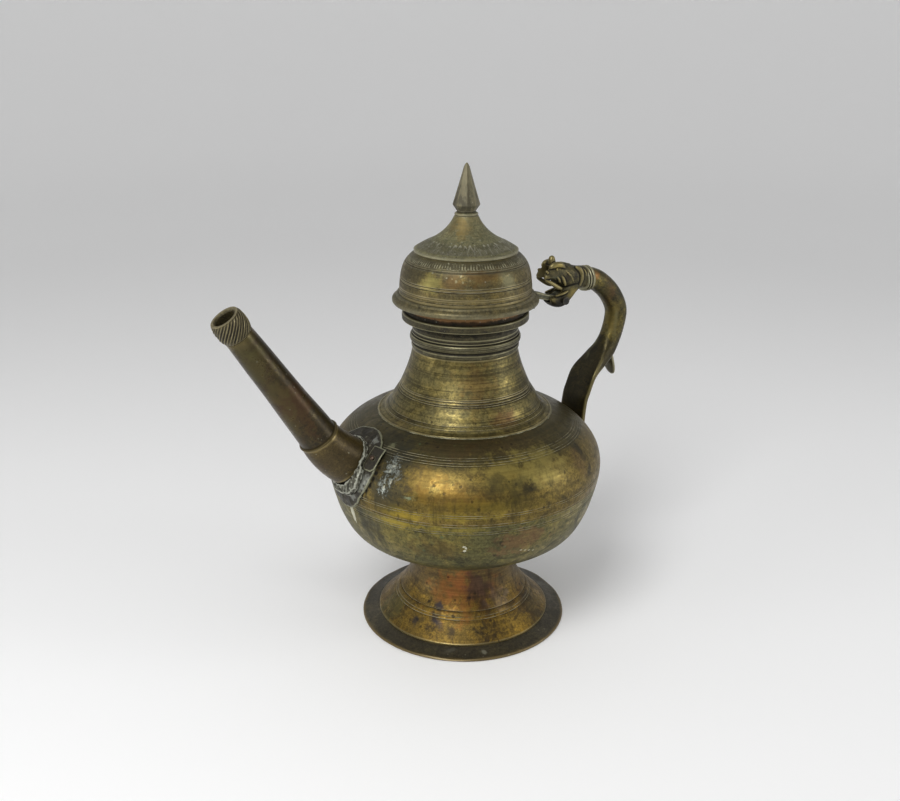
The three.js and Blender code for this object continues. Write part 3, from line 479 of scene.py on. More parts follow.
def collar_of_finial():
    shares = [(0.93, 0), (0.99, 0.12), (1, 0.3), (0.98, 0.45), (0.9, 0.58), (0.82, 0.7), (0.8, 0.85),
              (0.82, 1)]
    start, end = (0, low("finial_collar")), (reach("finial_collar"), high("finial_collar"))
    return bored("collar_of_the_finial", shares, start, end, 5, tang_radius, sides=64)


print("lid outlines ready")

# %% [markdown]
# The finial is an eight-sided spire, filed from a casting. The flats stay flat and the edges between
# them are slightly rounded, so each edge gets a narrow strip of its own.

# %% Finial
finial_turn = math.radians(13)
finial_radius = 7.9 * mm
finial_sides = 8
ground_corner = 0.985
flat_shares = (0.08, 0.14, 0.86, 0.92)
finial_tiers = [(0.74, 0), (0.75, 0.012), (0.97, 0.105), (0.985, 0.118), (0.995, 0.13), (0.98, 0.145),
                (0.575, 0.54), (0.2, 0.925), (0.12, 0.97), (0.06, 0.99), (0.02, 1)]


def spire():
    base = high("finial_collar")
    tall = high("finial") - base
    corners = hoop(Vector(), handle_way, crosswise, finial_sides, finial_turn)
    filed = []
    for first, second in zip(corners, corners[1:] + corners[:1]):
        filed += [first * ground_corner, *[first.lerp(second, share) for share in flat_shares]]
    rings = [[vessel_axis + spot * finial_radius * share + upright * (base + tall * height) for spot in filed]
             for share, height in finial_tiers]
    return skin("spire_of_the_finial", rings)


print("finial ready")

# %% [markdown]
# ## Small forged pieces
# Rivets, the pin, the tongue and the hook were hammered or filed, with no sharp edge left. A fine remesh
# of the frame's own solid, relaxed a few times, gives just that, and stays where the solid is.


# %% Soften a solid of the frame
def modified(piece, kind, **settings):
    change = piece.modifiers.new(kind.lower(), kind)
    for key, value in settings.items():
        setattr(change, key, value)
    bpy.context.view_layer.update()
    evaluated = piece.evaluated_get(bpy.context.evaluated_depsgraph_get())
    mesh = bpy.data.meshes.new_from_object(evaluated)
    piece.modifiers.clear()
    piece.data = smoothed(mesh)
    return piece


def softened(name, node, voxel, rounds):
    piece = placed(name, cleaned(frame["nodes"][node].data.copy()))
    piece.data.materials.clear()
    modified(piece, "REMESH", mode="VOXEL", voxel_size=voxel * mm)
    modified(piece, "SMOOTH", factor=0.5, iterations=rounds)
    piece.data.shade_smooth()
    return piece


print("softening ready")

# %% [markdown]
# ## Spout
# The spout's tube is straight and tapers. Its line is read from the frame: the rings at both ends of a
# piece give two centres, and all the spout's turned pieces are spun about the line between them.

# %% Line of the spout
tube_elevation = math.radians(56.5)
spout_way = Vector((-math.cos(tube_elevation), 0, math.sin(tube_elevation)))
tube_foot_radius = 11.1 * mm
tube_end_radius = 8.1 * mm
tube_wall = 1.6 * mm
tube_sides = 96


def end_centres(node):
    spots = np.array([v.co for v in frame["nodes"][node].data.vertices])
    depth = spots @ np.array(spout_way)
    first = spots[depth < depth.min() + mm / 100].mean(0)
    last = spots[depth > depth.max() - mm / 100].mean(0)
    return Vector(first), (Vector(last) - Vector(first)).length


tube_foot, tube_length = end_centres("spout_tube")
bead_foot, bead_length = end_centres("spout_bead")
knob_foot, knob_length = end_centres("spout_knob")
print("spout tube", round(tube_length / mm, 1), "mm long")


# %% Tube and ring of the spout
def spout_tube():
    steps = np.linspace(0, 1, 24)
    outer = [(tube_foot_radius + (tube_end_radius - tube_foot_radius) * s, tube_length * s) for s in steps]
    inner = [(radius - tube_wall, height) for radius, height in outer[::-4]]
    tube = turned("tube_of_the_spout", outer + inner, sides=tube_sides, foot=tube_foot, along=spout_way)
    return hand_made(tube, 0.3 * mm, 22 * mm, seed=3)


def spout_ring():
    radius, inside = reach("spout_bead"), tube_foot_radius - tube_wall
    swell = [(-0.6, 0), (-0.1, 0.25), (0, 0.5), (-0.15, 0.75), (-0.9, 1)]
    outline = [(radius + r * mm, bead_length * h) for r, h in swell] + [(inside, bead_length), (inside, 0)]
    return turned("ring_of_the_spout", outline, sides=tube_sides, foot=bead_foot, along=spout_way)


print("tube and ring ready")

# %% [markdown]
# The mouth of the spout is a swollen ring of slanting ridges, like rope. Each ring of points is turned a
# little further than the last, and a sharp wave round it makes the furrows between the ridges.

# %% Twisted mouth
knob_radius = reach("spout_knob") - 0.75 * mm
knob_bore = tube_end_radius - 2.2 * mm
knob_twist = math.radians(84)
ridge_count, ridge_points = 26, 8
ridge_depth = 0.3 * mm
ridge_unevenness = 0.25 * mm
knob_swells = curve_through(
    [(0, 0), (0.12, 0.5), (0.3, 0.92), (0.5, 1), (0.7, 0.9), (0.88, 0.6), (1, -0.03)], 6)


def spout_mouth():
    turn = upright.rotation_difference(spout_way).to_matrix()
    sides = ridge_count * ridge_points
    rings = []
    for share, swell in knob_swells:
        level = min(1, swell * 1.6)
        radius = tube_end_radius + (knob_radius - tube_end_radius) * swell
        deep = ridge_depth * level * (1 + 0.6 * noise.noise(Vector((share * 3, 0, 4))))
        ring = []
        for i in range(sides):
            angle = 2 * math.pi * i / sides
            furrow = deep * abs(math.sin(angle * ridge_count / 2)) ** 0.8
            uneven = noise.noise(Vector((angle * 4, share * 2, 0))) * ridge_unevenness * level
            spread = radius - furrow + uneven
            slanted = angle + knob_twist * share
            spot = Vector((math.cos(slanted) * spread, math.sin(slanted) * spread, knob_length * share))
            ring.append(knob_foot + turn @ spot)
        rings.append(ring)
    across, aslant = turn @ handle_way, turn @ crosswise
    for radius, share in ((knob_bore + 0.7 * mm, 1), (knob_bore, 0.9), (knob_bore, 0.5),
                          (tube_end_radius - tube_wall, 0)):
        place = knob_foot + spout_way * knob_length * share
        rings.append(hoop(place, across * radius, aslant * radius, sides, knob_twist * share))
    return skin("mouth_of_the_spout", rings, closed=True)


print("twisted mouth ready")

# %% [markdown]
# The socket is a short elbow. It leaves the belly square to its wall and bends up to the tube's slope,
# so its rings follow a curve between those two lines.

# %% Socket of the spout
spout_height = widest + 14.8 * mm
socket_root_radius = 14.3 * mm
socket_end_radius = 11.7 * mm
socket_wall = 1.7 * mm
socket_depth = 6 * mm
socket_corner = 12.6 * mm
socket_start = 0.6 * mm
socket_steps = 40


def on_belly(height, side):
    slope = (belly_at(height + mm) - belly_at(height - mm)) / (2 * mm)
    out = Vector((side, 0, -slope)).normalized()
    return Vector((axis_x + side * belly_at(height), 0, height)), out


def bend_at(start, corner, end, t):
    place = start * (1 - t) ** 2 + corner * 2 * t * (1 - t) + end * t**2
    return place, ((corner - start) * (1 - t) + (end - corner) * t).normalized()


def spout_socket():
    root, out = on_belly(spout_height, -1)
    walls = []
    for wall in (0, socket_wall):
        rings = []
        for t in np.arange(socket_steps + 1) / socket_steps:
            place, way = bend_at(root - out * socket_depth, root + out * socket_corner, bead_foot, t)
            taper = (socket_root_radius - socket_end_radius) * math.cos(t * math.pi / 2)
            radius = socket_end_radius + taper - wall
            ring = hoop(place, crosswise * radius, way.cross(crosswise).normalized() * radius, tube_sides)
            if min((spot - root).dot(out) for spot in ring) > socket_start:
                rings.append(ring)
        walls.append(rings)
    return skin("socket_of_the_spout", walls[0] + walls[1][::-1], closed=True)


print("socket ready")

# %% [markdown]
# ## Handle
# The handle begins as a round arch behind the dragon's head, flattens as it turns down and ends as a
# broad strap on the belly. Its sections go from round to flat along one smooth path.

# %% Path of the handle
bands_low, bands_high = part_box("head_bands")
bands_level = (bands_low.z + bands_high.z) / 2
handle_start = Vector((bands_high.x + 0.3 * mm, 0, bands_level))
arch_bulge = 29.6 * mm
arch_set_back = 5.6 * mm
arch_thick = 13.4 * mm
strap_width = 23 * mm
strap_thick = 3.2 * mm
strap_gap = 0.5 * mm
strap_land = widest + 9.5 * mm
strap_foot = 17 * mm
arch_shares = [(0.43, 0.035), (0.73, 0.116), (0.947, 0.218), (0.997, 0.306), (0.913, 0.429),
               (0.747, 0.532), (0.543, 0.594), (0.247, 0.68), (0.097, 0.795), (0.03, 0.865)]


def strap_place(height):
    place, out = on_belly(height, 1)
    return place + out * (strap_gap + strap_thick / 2)


landing = strap_place(strap_land)
handle_points = [handle_start]
for bulge, down in arch_shares:
    chord = handle_start.lerp(landing, down)
    chord.x += arch_bulge * bulge - arch_set_back * (1 - down)
    handle_points.append(chord)
handle_points += [landing, strap_place(strap_land - strap_foot / 2), strap_place(strap_land - strap_foot)]
handle_path = curve_through(handle_points, 12)
lengths = np.concatenate([[0], np.cumsum(np.linalg.norm(np.diff(handle_path, axis=0), axis=1))])
print("handle path", round(lengths[-1] / mm, 1), "mm long")

# %% Sections of the handle
flat_from, flat_to = 0.4, 0.66
arch_square, strap_square = 2.2, 5.6
end_rounding = 0.6 * mm


def path_at(share):
    return Vector([np.interp(share * lengths[-1], lengths, line) for line in handle_path.T])


def path_way(share):
    return (path_at(min(share + 0.01, 1)) - path_at(max(share - 0.01, 0))).normalized()


def smooth_step(value, start, end):
    t = min(max((value - start) / (end - start), 0), 1)
    return t * t * (3 - 2 * t)


def section(place, way, half_width, half_depth, square, sides=64):
    depth = way.cross(crosswise).normalized()
    ring = []
    for i in range(sides):
        c, s = math.cos(2 * math.pi * i / sides), math.sin(2 * math.pi * i / sides)
        wide = math.copysign(abs(c) ** (2 / square), c) * half_width
        deep = math.copysign(abs(s) ** (2 / square), s) * half_depth
        ring.append(place + crosswise * wide + depth * deep)
    return ring


def arch_and_strap():
    rings = []
    steps = 130
    for k in range(steps + 1):
        share = k / steps
        flat = smooth_step(share, flat_from, flat_to)
        rounding = end_rounding if k in (0, steps) else 0
        width = arch_thick + (strap_width - arch_thick) * flat - rounding
        depth = arch_thick + (strap_thick - arch_thick) * flat - rounding
        way = path_way(share) if k else handle_way
        square = arch_square + (strap_square - arch_square) * flat
        rings.append(section(path_at(share), way, width / 2, depth / 2, square))
    return hand_made(skin("arch_and_strap", rings), 0.25 * mm, 15 * mm, seed=7)


print("handle sections ready")

# %% [markdown]
# A flat leaf hangs from the arch where it begins to flatten, and a double ring of mouldings hides the
# joint of handle and head.

# %% Spur and bands
spur_drop = Vector((4.5, 0, -16.5)) * mm
spur_bulge = Vector((4.5, 0, 0)) * mm
spur_rise = 7 * mm
spur_width = 5.5 * mm
spur_thick = 2.1 * mm
bands_bore = 4.5 * mm


def leaf_spur():
    way = path_way(0.43)
    start = path_at(0.47) + Vector((-way.z, 0, way.x)) * arch_thick / 4
    bend = start + way * spur_rise + spur_bulge
    steps = 24
    rings = []
    for k in range(steps + 1):
        t = k / steps
        place, along = bend_at(start, bend, start + spur_drop, t)
        width = spur_width * (0.8 + 0.5 * t) * math.sqrt(max(1 - t**3.4, 0.004))
        depth = spur_thick * (1 - 0.35 * t) * math.sqrt(max(1 - t**4, 0.01))
        rings.append(section(place, along, width, depth, 2, 32))
    return skin("leaf_spur", rings)


def head_bands():
    shares = [(0.88, 0), (0.94, 0.05), (0.95, 0.12), (0.89, 0.18), (0.88, 0.26), (0.96, 0.32), (1, 0.4),
              (0.96, 0.48), (0.89, 0.54), (0.88, 0.64), (0.95, 0.7), (0.985, 0.8), (0.95, 0.9), (0.88, 1)]
    end = (reach("head_bands"), bands_high.x - bands_low.x)
    foot = Vector((bands_low.x, 0, bands_level))
    return bored("bands_behind_the_head", shares, (0, 0), end, 4, bands_bore,
                 sides=80, foot=foot, along=handle_way)


print("handle makers ready")

# %% [markdown]
# ## Dragon head
# The head was cast and then chased: ridges run down the cheek, the snout turns up and the jaws hold the
# pin of the hinge. It is built up like wax: two large masses for skull and jaw, then rods of changing
# thickness for brow, lips, ridges and mane. One fine remesh melts them together.

# %% Masses and rods of the head
pin = sum(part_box("hinge_pin"), Vector()) / 2
rod_sides = 14


def rod(points, radii):
    points = [pin + Vector(point) * mm for point in points]
    points = curve_through(points, 6)
    radii = curve_through([(radius * mm, 0) for radius in radii], 6)[:, 0]
    rings = []
    across = None
    last = len(points) - 1
    for i, place in enumerate(points):
        way = Vector(points[min(i + 1, last)] - points[max(i - 1, 0)]).normalized()
        across = across or way.orthogonal()
        across = (across - way * across.dot(way)).normalized()
        radius = max(radii[i] * math.sqrt(1 - abs(2 * i / last - 1) ** 5), 0.05 * mm)
        rings.append(hoop(Vector(place), across * radius, way.cross(across) * radius, rod_sides))
    return skin("rod", rings)


def mass(rows):
    rows = curve_through(rows, 6)
    rings = []
    for i, (x, z, tall, wide) in enumerate(rows):
        before, after = rows[max(i - 1, 0)], rows[min(i + 1, len(rows) - 1)]
        way = Vector((after[0] - before[0], 0, after[1] - before[1])).normalized()
        rings.append(section(pin + Vector((x, 0, z)) * mm, way, wide * mm, tall * mm, 2.3, 40))
    return skin("mass", rings)


skull_rows = [(18.4, 11.3, 6.7, 6.7), (12, 11.9, 6.9, 6.8), (6, 13.4, 7, 6.6), (1, 15.2, 6.7, 6.3),
              (-4, 16.7, 5.7, 6.2), (-9, 16.6, 4.2, 5.8), (-12.2, 15.4, 2.6, 5.3), (-13.8, 14.8, 0.7, 4.6)]
jaw_rows = [(13, 9.6, 4.2, 6.2), (8, 6.6, 4.6, 6.6), (3.4, 2.4, 4.8, 6.8), (-0.4, -0.4, 4.7, 6.8),
            (-4.6, 0, 4, 6.6), (-7.4, 1, 2.4, 6.2), (-8.6, 1.6, 0.5, 5.4)]
middle_parts = {
    "horn": ([(-5.2, 0, 19), (-5.8, 0, 24), (-5.4, 0, 27.2)], [3.2, 2.3, 1.5]),
    "crest": ([(-2, 0, 20.4), (4, 0, 19), (11, 0, 16.4)], [3, 2.8, 2.6]),
}
cheek_parts = {
    "brow": ([(-10.6, 4.4, 20.2), (-7, 5, 22), (-2.6, 5.2, 21.8), (1.6, 5.4, 18.8)], [1.1, 1.8, 1.8, 1]),
    "eye": ([(-6.2, 5.6, 19.4), (-4.8, 5.8, 19.4)], [1.2, 1.2]),
    "nostril": ([(-12.4, 4.4, 17.6), (-11, 4.8, 18.6)], [1.5, 1.4]),
    "lip": ([(-13.8, 4.8, 14.2), (-9.4, 5.8, 11.6), (-4.4, 6, 8.6), (-0.6, 6, 6.8)], [1, 1.3, 1.3, 0.9]),
    "fold under the eye": ([(-8.6, 5.6, 18), (-4.8, 6.1, 14.6), (-2.6, 6.1, 10.6)], [0.5, 0.85, 0.5]),
    "fold of the cheek": ([(-5.4, 5.8, 18), (-1.2, 6.2, 13.9), (1.4, 6.4, 8.4)], [0.7, 1.2, 0.8]),
    "ridge of the cheek": ([(-0.6, 6, 19), (4.8, 6.3, 14), (7.8, 6.3, 9)], [0.8, 1.3, 0.9]),
    "mane": ([(9, 5, 19.6), (12, 6, 16.6), (12.6, 6.5, 12), (11, 6.2, 6.4)], [1.3, 1.9, 1.9, 1.3]),
    "second mane": ([(15.4, 5.2, 17.6), (16.4, 6.4, 12.6), (15.8, 6, 7)], [0.9, 1.2, 0.9]),
    "lower lip": ([(-6.6, 6.2, 3.2), (-1, 6.5, 4.1), (4, 6.4, 5.6)], [0.6, 0.8, 0.7]),
}
cheek_inset = 0.8
print("head has", len(middle_parts) + 2 * len(cheek_parts), "rods")

# %% [markdown]
# The lid's tongue swings between the jaws, so the jaws need a slot as wide as the tongue. Its outline
# goes round the eye of the hinge and then follows the top of the tongue when the lid is fully open.

# %% Head with the slot between its jaws
slot_half_width = 3.3 * mm
slot_round = 5.4 * mm
slot_far = -26 * mm
slot_floor = -1.2 * mm
slot_top = [(-1.7, 5.8), (-4.8, 13.4), (-7.5, 18.9), (-10.2, 24.4)]


def joined(name, shapes):
    work = bmesh.new()
    for shape in shapes:
        work.from_mesh(shape.data)
        bpy.data.objects.remove(shape)
    mesh = bpy.data.meshes.new(name)
    work.to_mesh(mesh)
    work.free()
    return placed(name, mesh)


def cut_slot(head):
    turns = np.radians(np.linspace(200, 455, 20))
    outline = [(slot_far, 0), (-slot_round, slot_floor)]
    outline += [(math.cos(turn) * slot_round, math.sin(turn) * slot_round) for turn in turns]
    outline += [(x * mm, z * mm) for x, z in slot_top] + [(slot_far, slot_top[-1][1] * mm)]
    rings = [[pin + Vector((x, side * slot_half_width, z)) for x, z in outline] for side in (-1, 1)]
    wedge = skin("slot_cutter", rings)
    modified(head, "BOOLEAN", operation="DIFFERENCE", solver="MANIFOLD", object=wedge)
    bpy.data.objects.remove(wedge)


def dragon_head():
    shapes = [mass(skull_rows), mass(jaw_rows), *[rod(*part) for part in middle_parts.values()]]
    for points, radii in cheek_parts.values():
        for side in (-1, 1):
            shapes.append(rod([(x, (y - cheek_inset) * side, z) for x, y, z in points], radii))
    head = joined("head_of_the_dragon", shapes)
    modified(head, "REMESH", mode="VOXEL", voxel_size=0.3 * mm)
    cut_slot(head)
    return modified(head, "SMOOTH", factor=0.5, iterations=6)


print("hinge pin at", [round(v / mm, 1) for v in pin], "mm")

# %% [markdown]
# ## Solder
# The patch was soldered by hand long after the ewer was made. The solder is a lumpy grey roll round the
# socket, and beads and splashes of it lie on the plate and the belly.


# %% Solder roll, plate, splashes and line
def lumpy(piece, offset, *layers):
    return pushed(piece, lambda place: (
        sum(noise.noise(place / (size * mm)) * amount for size, amount in layers) + offset) * mm)


def solder_roll():
    roll = softened("solder_of_the_spout", "spout_solder", 0.45, 4)
    return lumpy(roll, -0.15, (3.1, 0.55), (1.4, 0.3))


def patch_plate():
    return lumpy(softened("plate_of_the_spout", "spout_plate", 0.4, 2), 0, (6, 0.5), (2.5, 0.2))


def splash(name, piece, x, y, wide, tall, thick, seed):
    place, normal = spot_on(piece, x, y)
    side = normal.cross(upright).normalized()
    rise = side.cross(normal).normalized()
    rings = []
    for share, level in ((1.05, -0.5), (1, 0), (0.92, 0.45), (0.7, 0.8), (0.38, 0.97), (0.05, 1)):
        ring = []
        for i in range(28):
            c, s = math.cos(2 * math.pi * i / 28), math.sin(2 * math.pi * i / 28)
            rough = 1 + 0.6 * noise.noise(Vector((c * 2.1 + seed, s * 2.1, seed)))
            arm = (side * c * wide + rise * s * tall) * rough * mm
            fall = arm.length_squared / (2 * belly_radius) * 0.9
            ring.append(place + arm * share + normal * (thick * mm * level - fall * share**2))
        rings.append(ring)
    return skin(name, rings)


def line_of_solder():
    edge = neck_reach + 0.15 * mm
    rings = []
    for out in hoop(Vector(), handle_way, crosswise, 240):
        thick = (0.34 + 0.34 * noise.noise(out * 9) + 0.26 * noise.noise(out * 31)) * mm
        middle = vessel_axis + out * edge + upright * (shoulder_at(edge) + 0.15 * mm)
        rings.append(hoop(middle, out * thick, upright * thick, 8))
    return skin("line_of_solder", rings, closed=True)


print("solder makers ready")

# %% [markdown]
# ## Shader node helpers
# Materials are written as sums of signals. A signal is the output of a node; adding, multiplying or
# mixing signals makes the next node, so that a layer reads like a recipe.


# %% Node helpers
class Signal:
    def __init__(self, socket):
        self.socket = socket
        self.tree = socket.id_data

    def __getitem__(self, key):
        return Signal(self.socket.node.outputs[key])

    def __add__(self, other):
        return sums("ADD", self, other)

    def __sub__(self, other):
        return sums("SUBTRACT", self, other)

    def __rsub__(self, other):
        return sums("SUBTRACT", other, self)

    def __mul__(self, other):
        return sums("MULTIPLY", self, other)

    def __truediv__(self, other):
        return sums("DIVIDE", self, other)

    def __abs__(self):
        return sums("ABSOLUTE", self)


def add(tree, kind, inputs, **settings):
    made = tree.nodes.new(kind)
    for key, value in settings.items():
        setattr(made, key, value)
    for key, value in inputs.items():
        if isinstance(value, Signal):
            tree.links.new(value.socket, made.inputs[key])
        else:
            color = made.inputs[key].type == "RGBA"
            made.inputs[key].default_value = (*value, 1) if color else value
    return Signal(made.outputs[0]) if made.outputs else None


def sums(kind, *values, clamp=False):
    tree = next(value.tree for value in values if isinstance(value, Signal))
    return add(tree, "ShaderNodeMath", dict(enumerate(values)), operation=kind, use_clamp=clamp)


def vectors(kind, first, second=(0, 0, 0)):
    made = add(first.tree, "ShaderNodeVectorMath", {0: first, 1: second}, operation=kind)
    return made["Value"] if kind in ("LENGTH", "DOT_PRODUCT") else made


def mixed(share, first, second, kind="MIX"):
    places = {0: share, 6: first, 7: second}
    return add(first.tree, "ShaderNodeMix", places, data_type="RGBA", blend_type=kind)[2]


def ranged(value, low_in, high_in, low_out=0, high_out=1):
    places = dict(enumerate((value, low_in, high_in, low_out, high_out)))
    return add(value.tree, "ShaderNodeMapRange", places, interpolation_type="SMOOTHSTEP")


def cloud(place, scale, detail=4, rough=0.55, bend=0):
    settings = {"Vector": place, "Scale": scale, "Detail": detail, "Roughness": rough, "Distortion": bend}
    return add(place.tree, "ShaderNodeTexNoise", settings)["Fac"]


def stretched(place, x, y, z):
    return vectors("MULTIPLY", place, (x, y, z))


def shaded(color, shade):
    grey = add(shade.tree, "ShaderNodeCombineColor", {0: shade, 1: shade, 2: shade})
    return mixed(1, color, grey, "MULTIPLY")


def effect(name, recipe, **inputs):
    kinds = {"VALUE": "NodeSocketFloat", "VECTOR": "NodeSocketVector", "RGBA": "NodeSocketColor"}
    shapes = {3: "VECTOR", 4: "RGBA"}
    tree = bpy.data.node_groups.new(name, "ShaderNodeTree")
    for key, start in {"position": (0, 0, 0), **inputs}.items():
        kind = shapes[len(start)] if isinstance(start, tuple) else "VALUE"
        socket = tree.interface.new_socket(key.title(), in_out="INPUT", socket_type=kinds[kind])
        socket.default_value = start
    given = tree.nodes.new("NodeGroupInput").outputs
    made = recipe(*[Signal(socket) for socket in given if socket.name])
    for label, signal in made.items():
        tree.interface.new_socket(label, in_out="OUTPUT", socket_type=kinds[signal.socket.type])
    add(tree, "NodeGroupOutput", made)
    print(name, "has", len(tree.nodes), "nodes")
    return tree


print("node helpers ready")

# %% [markdown]
# ### Patina
# Old bronze is not one colour. Where hands rubbed it, it is golden; elsewhere it went olive, brown and
# nearly black, with reddish places where copper shows. Slow noise mixes these four colours.


# %% Patina group
def patina(place, bright, middle, dark, red, scale, rubbed_share, stained_share, reddened_share):
    slow = cloud(place, scale, 5, 0.6, 0.4)
    fast = cloud(stretched(place, 1.3, 1.3, 1.7), scale * 4.5, 6, 0.68, 0.6)
    rubbed = ranged(slow * 0.5 + fast * 0.5 + (rubbed_share - 0.5), 0.42, 0.66)
    stain = cloud(stretched(place, 0.8, 0.8, 1.1), scale * 1.9, 7, 0.7, 1.2)
    stained = ranged(stain + (stained_share - 0.5), 0.52, 0.7)
    blush = cloud(stretched(place, 1.1, 0.9, 0.7), scale * 0.7, 3, 0.5, 0.3)
    reddened = ranged(blush + (reddened_share - 0.5), 0.5, 0.72)
    color = mixed(rubbed, middle, bright)
    color = mixed(reddened * 0.7, color, red)
    color = mixed(stained * 0.85, color, dark)
    grain = cloud(place, scale * 17, 5, 0.7, 0.8)
    return {"Color": shaded(color, ranged(grain, 0.34, 0.66, 0.62, 1.34)), "Worn": rubbed * (1 - stained)}


patina_group = effect("mottled patina", patina, bright=(0.5, 0.35, 0.1, 1), middle=(0.3, 0.2, 0.07, 1),
                      dark=(0.06, 0.05, 0.02, 1), red=(0.3, 0.1, 0.04, 1), scale=30.0, rubbed=0.5,
                      stained=0.5, reddened=0.3)

# %% [markdown]
# ### Turning marks
# The ewer was finished on a lathe, so fine lines run round it. Noise that is squeezed along the outline
# and drawn out round the axis gives such lines.


# %% Turning marks group
def parted(place):
    parts = add(place.tree, "ShaderNodeSeparateXYZ", {0: place})
    return parts, parts["Y"], parts["Z"]


def gathered(x, y, z=0):
    return add(x.tree, "ShaderNodeCombineXYZ", {0: x, 1: y, 2: z})


def turning_marks(place, lean, fineness):
    x, y, z = parted(vectors("SUBTRACT", place, vessel_axis))
    along = (z + vectors("LENGTH", gathered(x, y)) * lean) * (fineness * 1500)
    drawn = gathered(x * 14, y * 14, along)
    broad = cloud(stretched(drawn, 1, 1, 0.22), 1, 3, 0.6)
    both = broad * 0.5 + cloud(drawn, 1, 4, 0.65) * 0.5
    return {"Streak": ranged(both, 0.36, 0.64), "Height": both - 0.5}


turning_group = effect("turning marks", turning_marks, lean=0.0, fineness=1.0)

# %% [markdown]
# ### Scribed lines
# Bands of lines were cut round the ewer with a hand-held tool. Each is a dark groove with pale dust
# beside it, wanders a little and is worn away in places.


# %% Scribed line group
def scribed_line(place, level, width, sag, worn):
    wander = (cloud(place, 22, 2, 0.5) - 0.5) * 0.0009
    moved = wander + vectors("DOT_PRODUCT", place, (-9, 8, 0)) * sag
    gap = parted(place)[2] - level - moved
    groove = ranged(abs(gap) / width, 0.35, 1, 1, 0)
    kept = ranged(cloud(place, 140, 4, 0.7), worn, worn + 0.12, 0.15, 1)
    dust = ranged(abs(gap - width * 1.3) / width, 0.5, 1.3, 1, 0)
    spots = ranged(cloud(place, 200, 3, 0.6), 0.34, 0.52, 0.25, 1)
    return {"Groove": groove * kept, "Dust": dust * spots * kept}


scribed_group = effect("scribed line", scribed_line, level=0.1, width=0.0004, sag=0.0, worn=0.4)

# %% [markdown]
# ### Worn edges and grime
# Edges are rubbed bright and hollows keep dirt. The mesh carries a value that says how much each point
# stands out or lies back; noise breaks it up so that the wear looks earned.


# %% Edge wear group
def edge_wear(place, edge, hollow, scale):
    ridge = add(place.tree, "ShaderNodeAttribute", {}, attribute_name="ridge")["Fac"]
    patch = (cloud(place, scale, 4, 0.6) - 0.5) * 0.35
    bright = ranged(ridge + patch, 0.06, 0.66 - edge)
    return {"Bright Edge": bright, "Grime": ranged(patch - ridge, 0.04, 0.66 - hollow)}


wear_group = effect("edge wear", edge_wear, edge=0.3, hollow=0.3, scale=160.0)

# %% [markdown]
# ### Pits, specks and marks
# Small pits and specks of verdigris or dust are scattered over the metal. Single stains and scars have
# a place of their own.


# %% Specks and marks groups
def pits(place, scale, amount):
    cells = add(place.tree, "ShaderNodeTexVoronoi", {"Vector": place, "Scale": scale, "Randomness": 1})
    pick = add(place.tree, "ShaderNodeSeparateColor", {0: cells["Color"]})
    size = pick[1] * 0.42
    shape = ranged(cells["Distance"], size * 0.5, size, 1, 0)
    return {"Speck": shape * sums("LESS_THAN", pick, amount)}


def single_mark(place, centre, size, ragged, grain):
    far = vectors("LENGTH", vectors("DIVIDE", vectors("SUBTRACT", place, centre), size))
    rough = (cloud(place, grain, 5, 0.7) - 0.5) * (ragged * 3)
    return {"Mask": ranged(far + rough, 0.35, 1.25, 1, 0)}


speck_group = effect("pits and specks", pits, scale=500.0, amount=0.3)
mark_group = effect("single mark", single_mark, centre=(0, 0, 0), size=(0.01, 0.01, 0.01),
                    ragged=0.5, grain=150.0)

# %% [markdown]
# ### Engraved ornament
# Two worn bands of ornament run round the lid: a row of upright strokes under the crown's lip, and
# petals above it. The angle round the axis is cut into equal steps, and each step gets one stroke or
# one petal.


# %% Engraved band group
def engraved_band(place, bottom, top, count):
    x, y, z = parted(vectors("SUBTRACT", place, vessel_axis))
    turn = sums("ARCTAN2", y, x) / (2 * math.pi)
    step = sums("FRACT", turn * count + cloud(place, 260, 3, 0.6) * 0.8)
    share = (z - bottom) / (top - bottom)
    off = abs(step * 2 - 1)
    zone = ranged(share, 0, 0.1) * ranged(share, 0.86, 1, 1, 0)
    kept = zone * ranged(cloud(place, 210, 4, 0.65), 0.4, 0.56)
    stroke = ranged(off, 0.3, 0.6, 1, 0) * ranged(share, 0.5, 0.66, 1, 0.35)
    arch = sums("SQRT", sums("SUBTRACT", 1, off * off, clamp=True))
    petal = ranged(abs(share - arch * 0.82), 0.06, 0.16, 1, 0)
    return {"Strokes": stroke * kept, "Petals": petal * kept, "Zone": zone}


engraved_group = effect("engraved band", engraved_band, bottom=0.2266, top=0.2304, count=140.0)

# %% [markdown]
# ### Smears
# Dirt and polish have run down the walls in narrow smears. Noise that is drawn out upwards gives them.


# %% Smear group
def upright_smears(place, scale, amount):
    streak = cloud(stretched(place, 1, 1, 0.16), scale, 5, 0.65, 0.3)
    both = streak * 0.6 + cloud(place, 34, 3, 0.6) * 0.4
    return {"Smear": ranged(both + (amount - 0.5), 0.5, 0.62)}


smear_group = effect("upright smears", upright_smears, scale=180.0, amount=0.5)

# %% [markdown]
# ## Making the pieces
# All pieces are made first, because some stains and splashes are then placed by looking along the line
# of sight through their pixel. Small forged pieces have a name, a voxel in mm and rounds of relaxing.

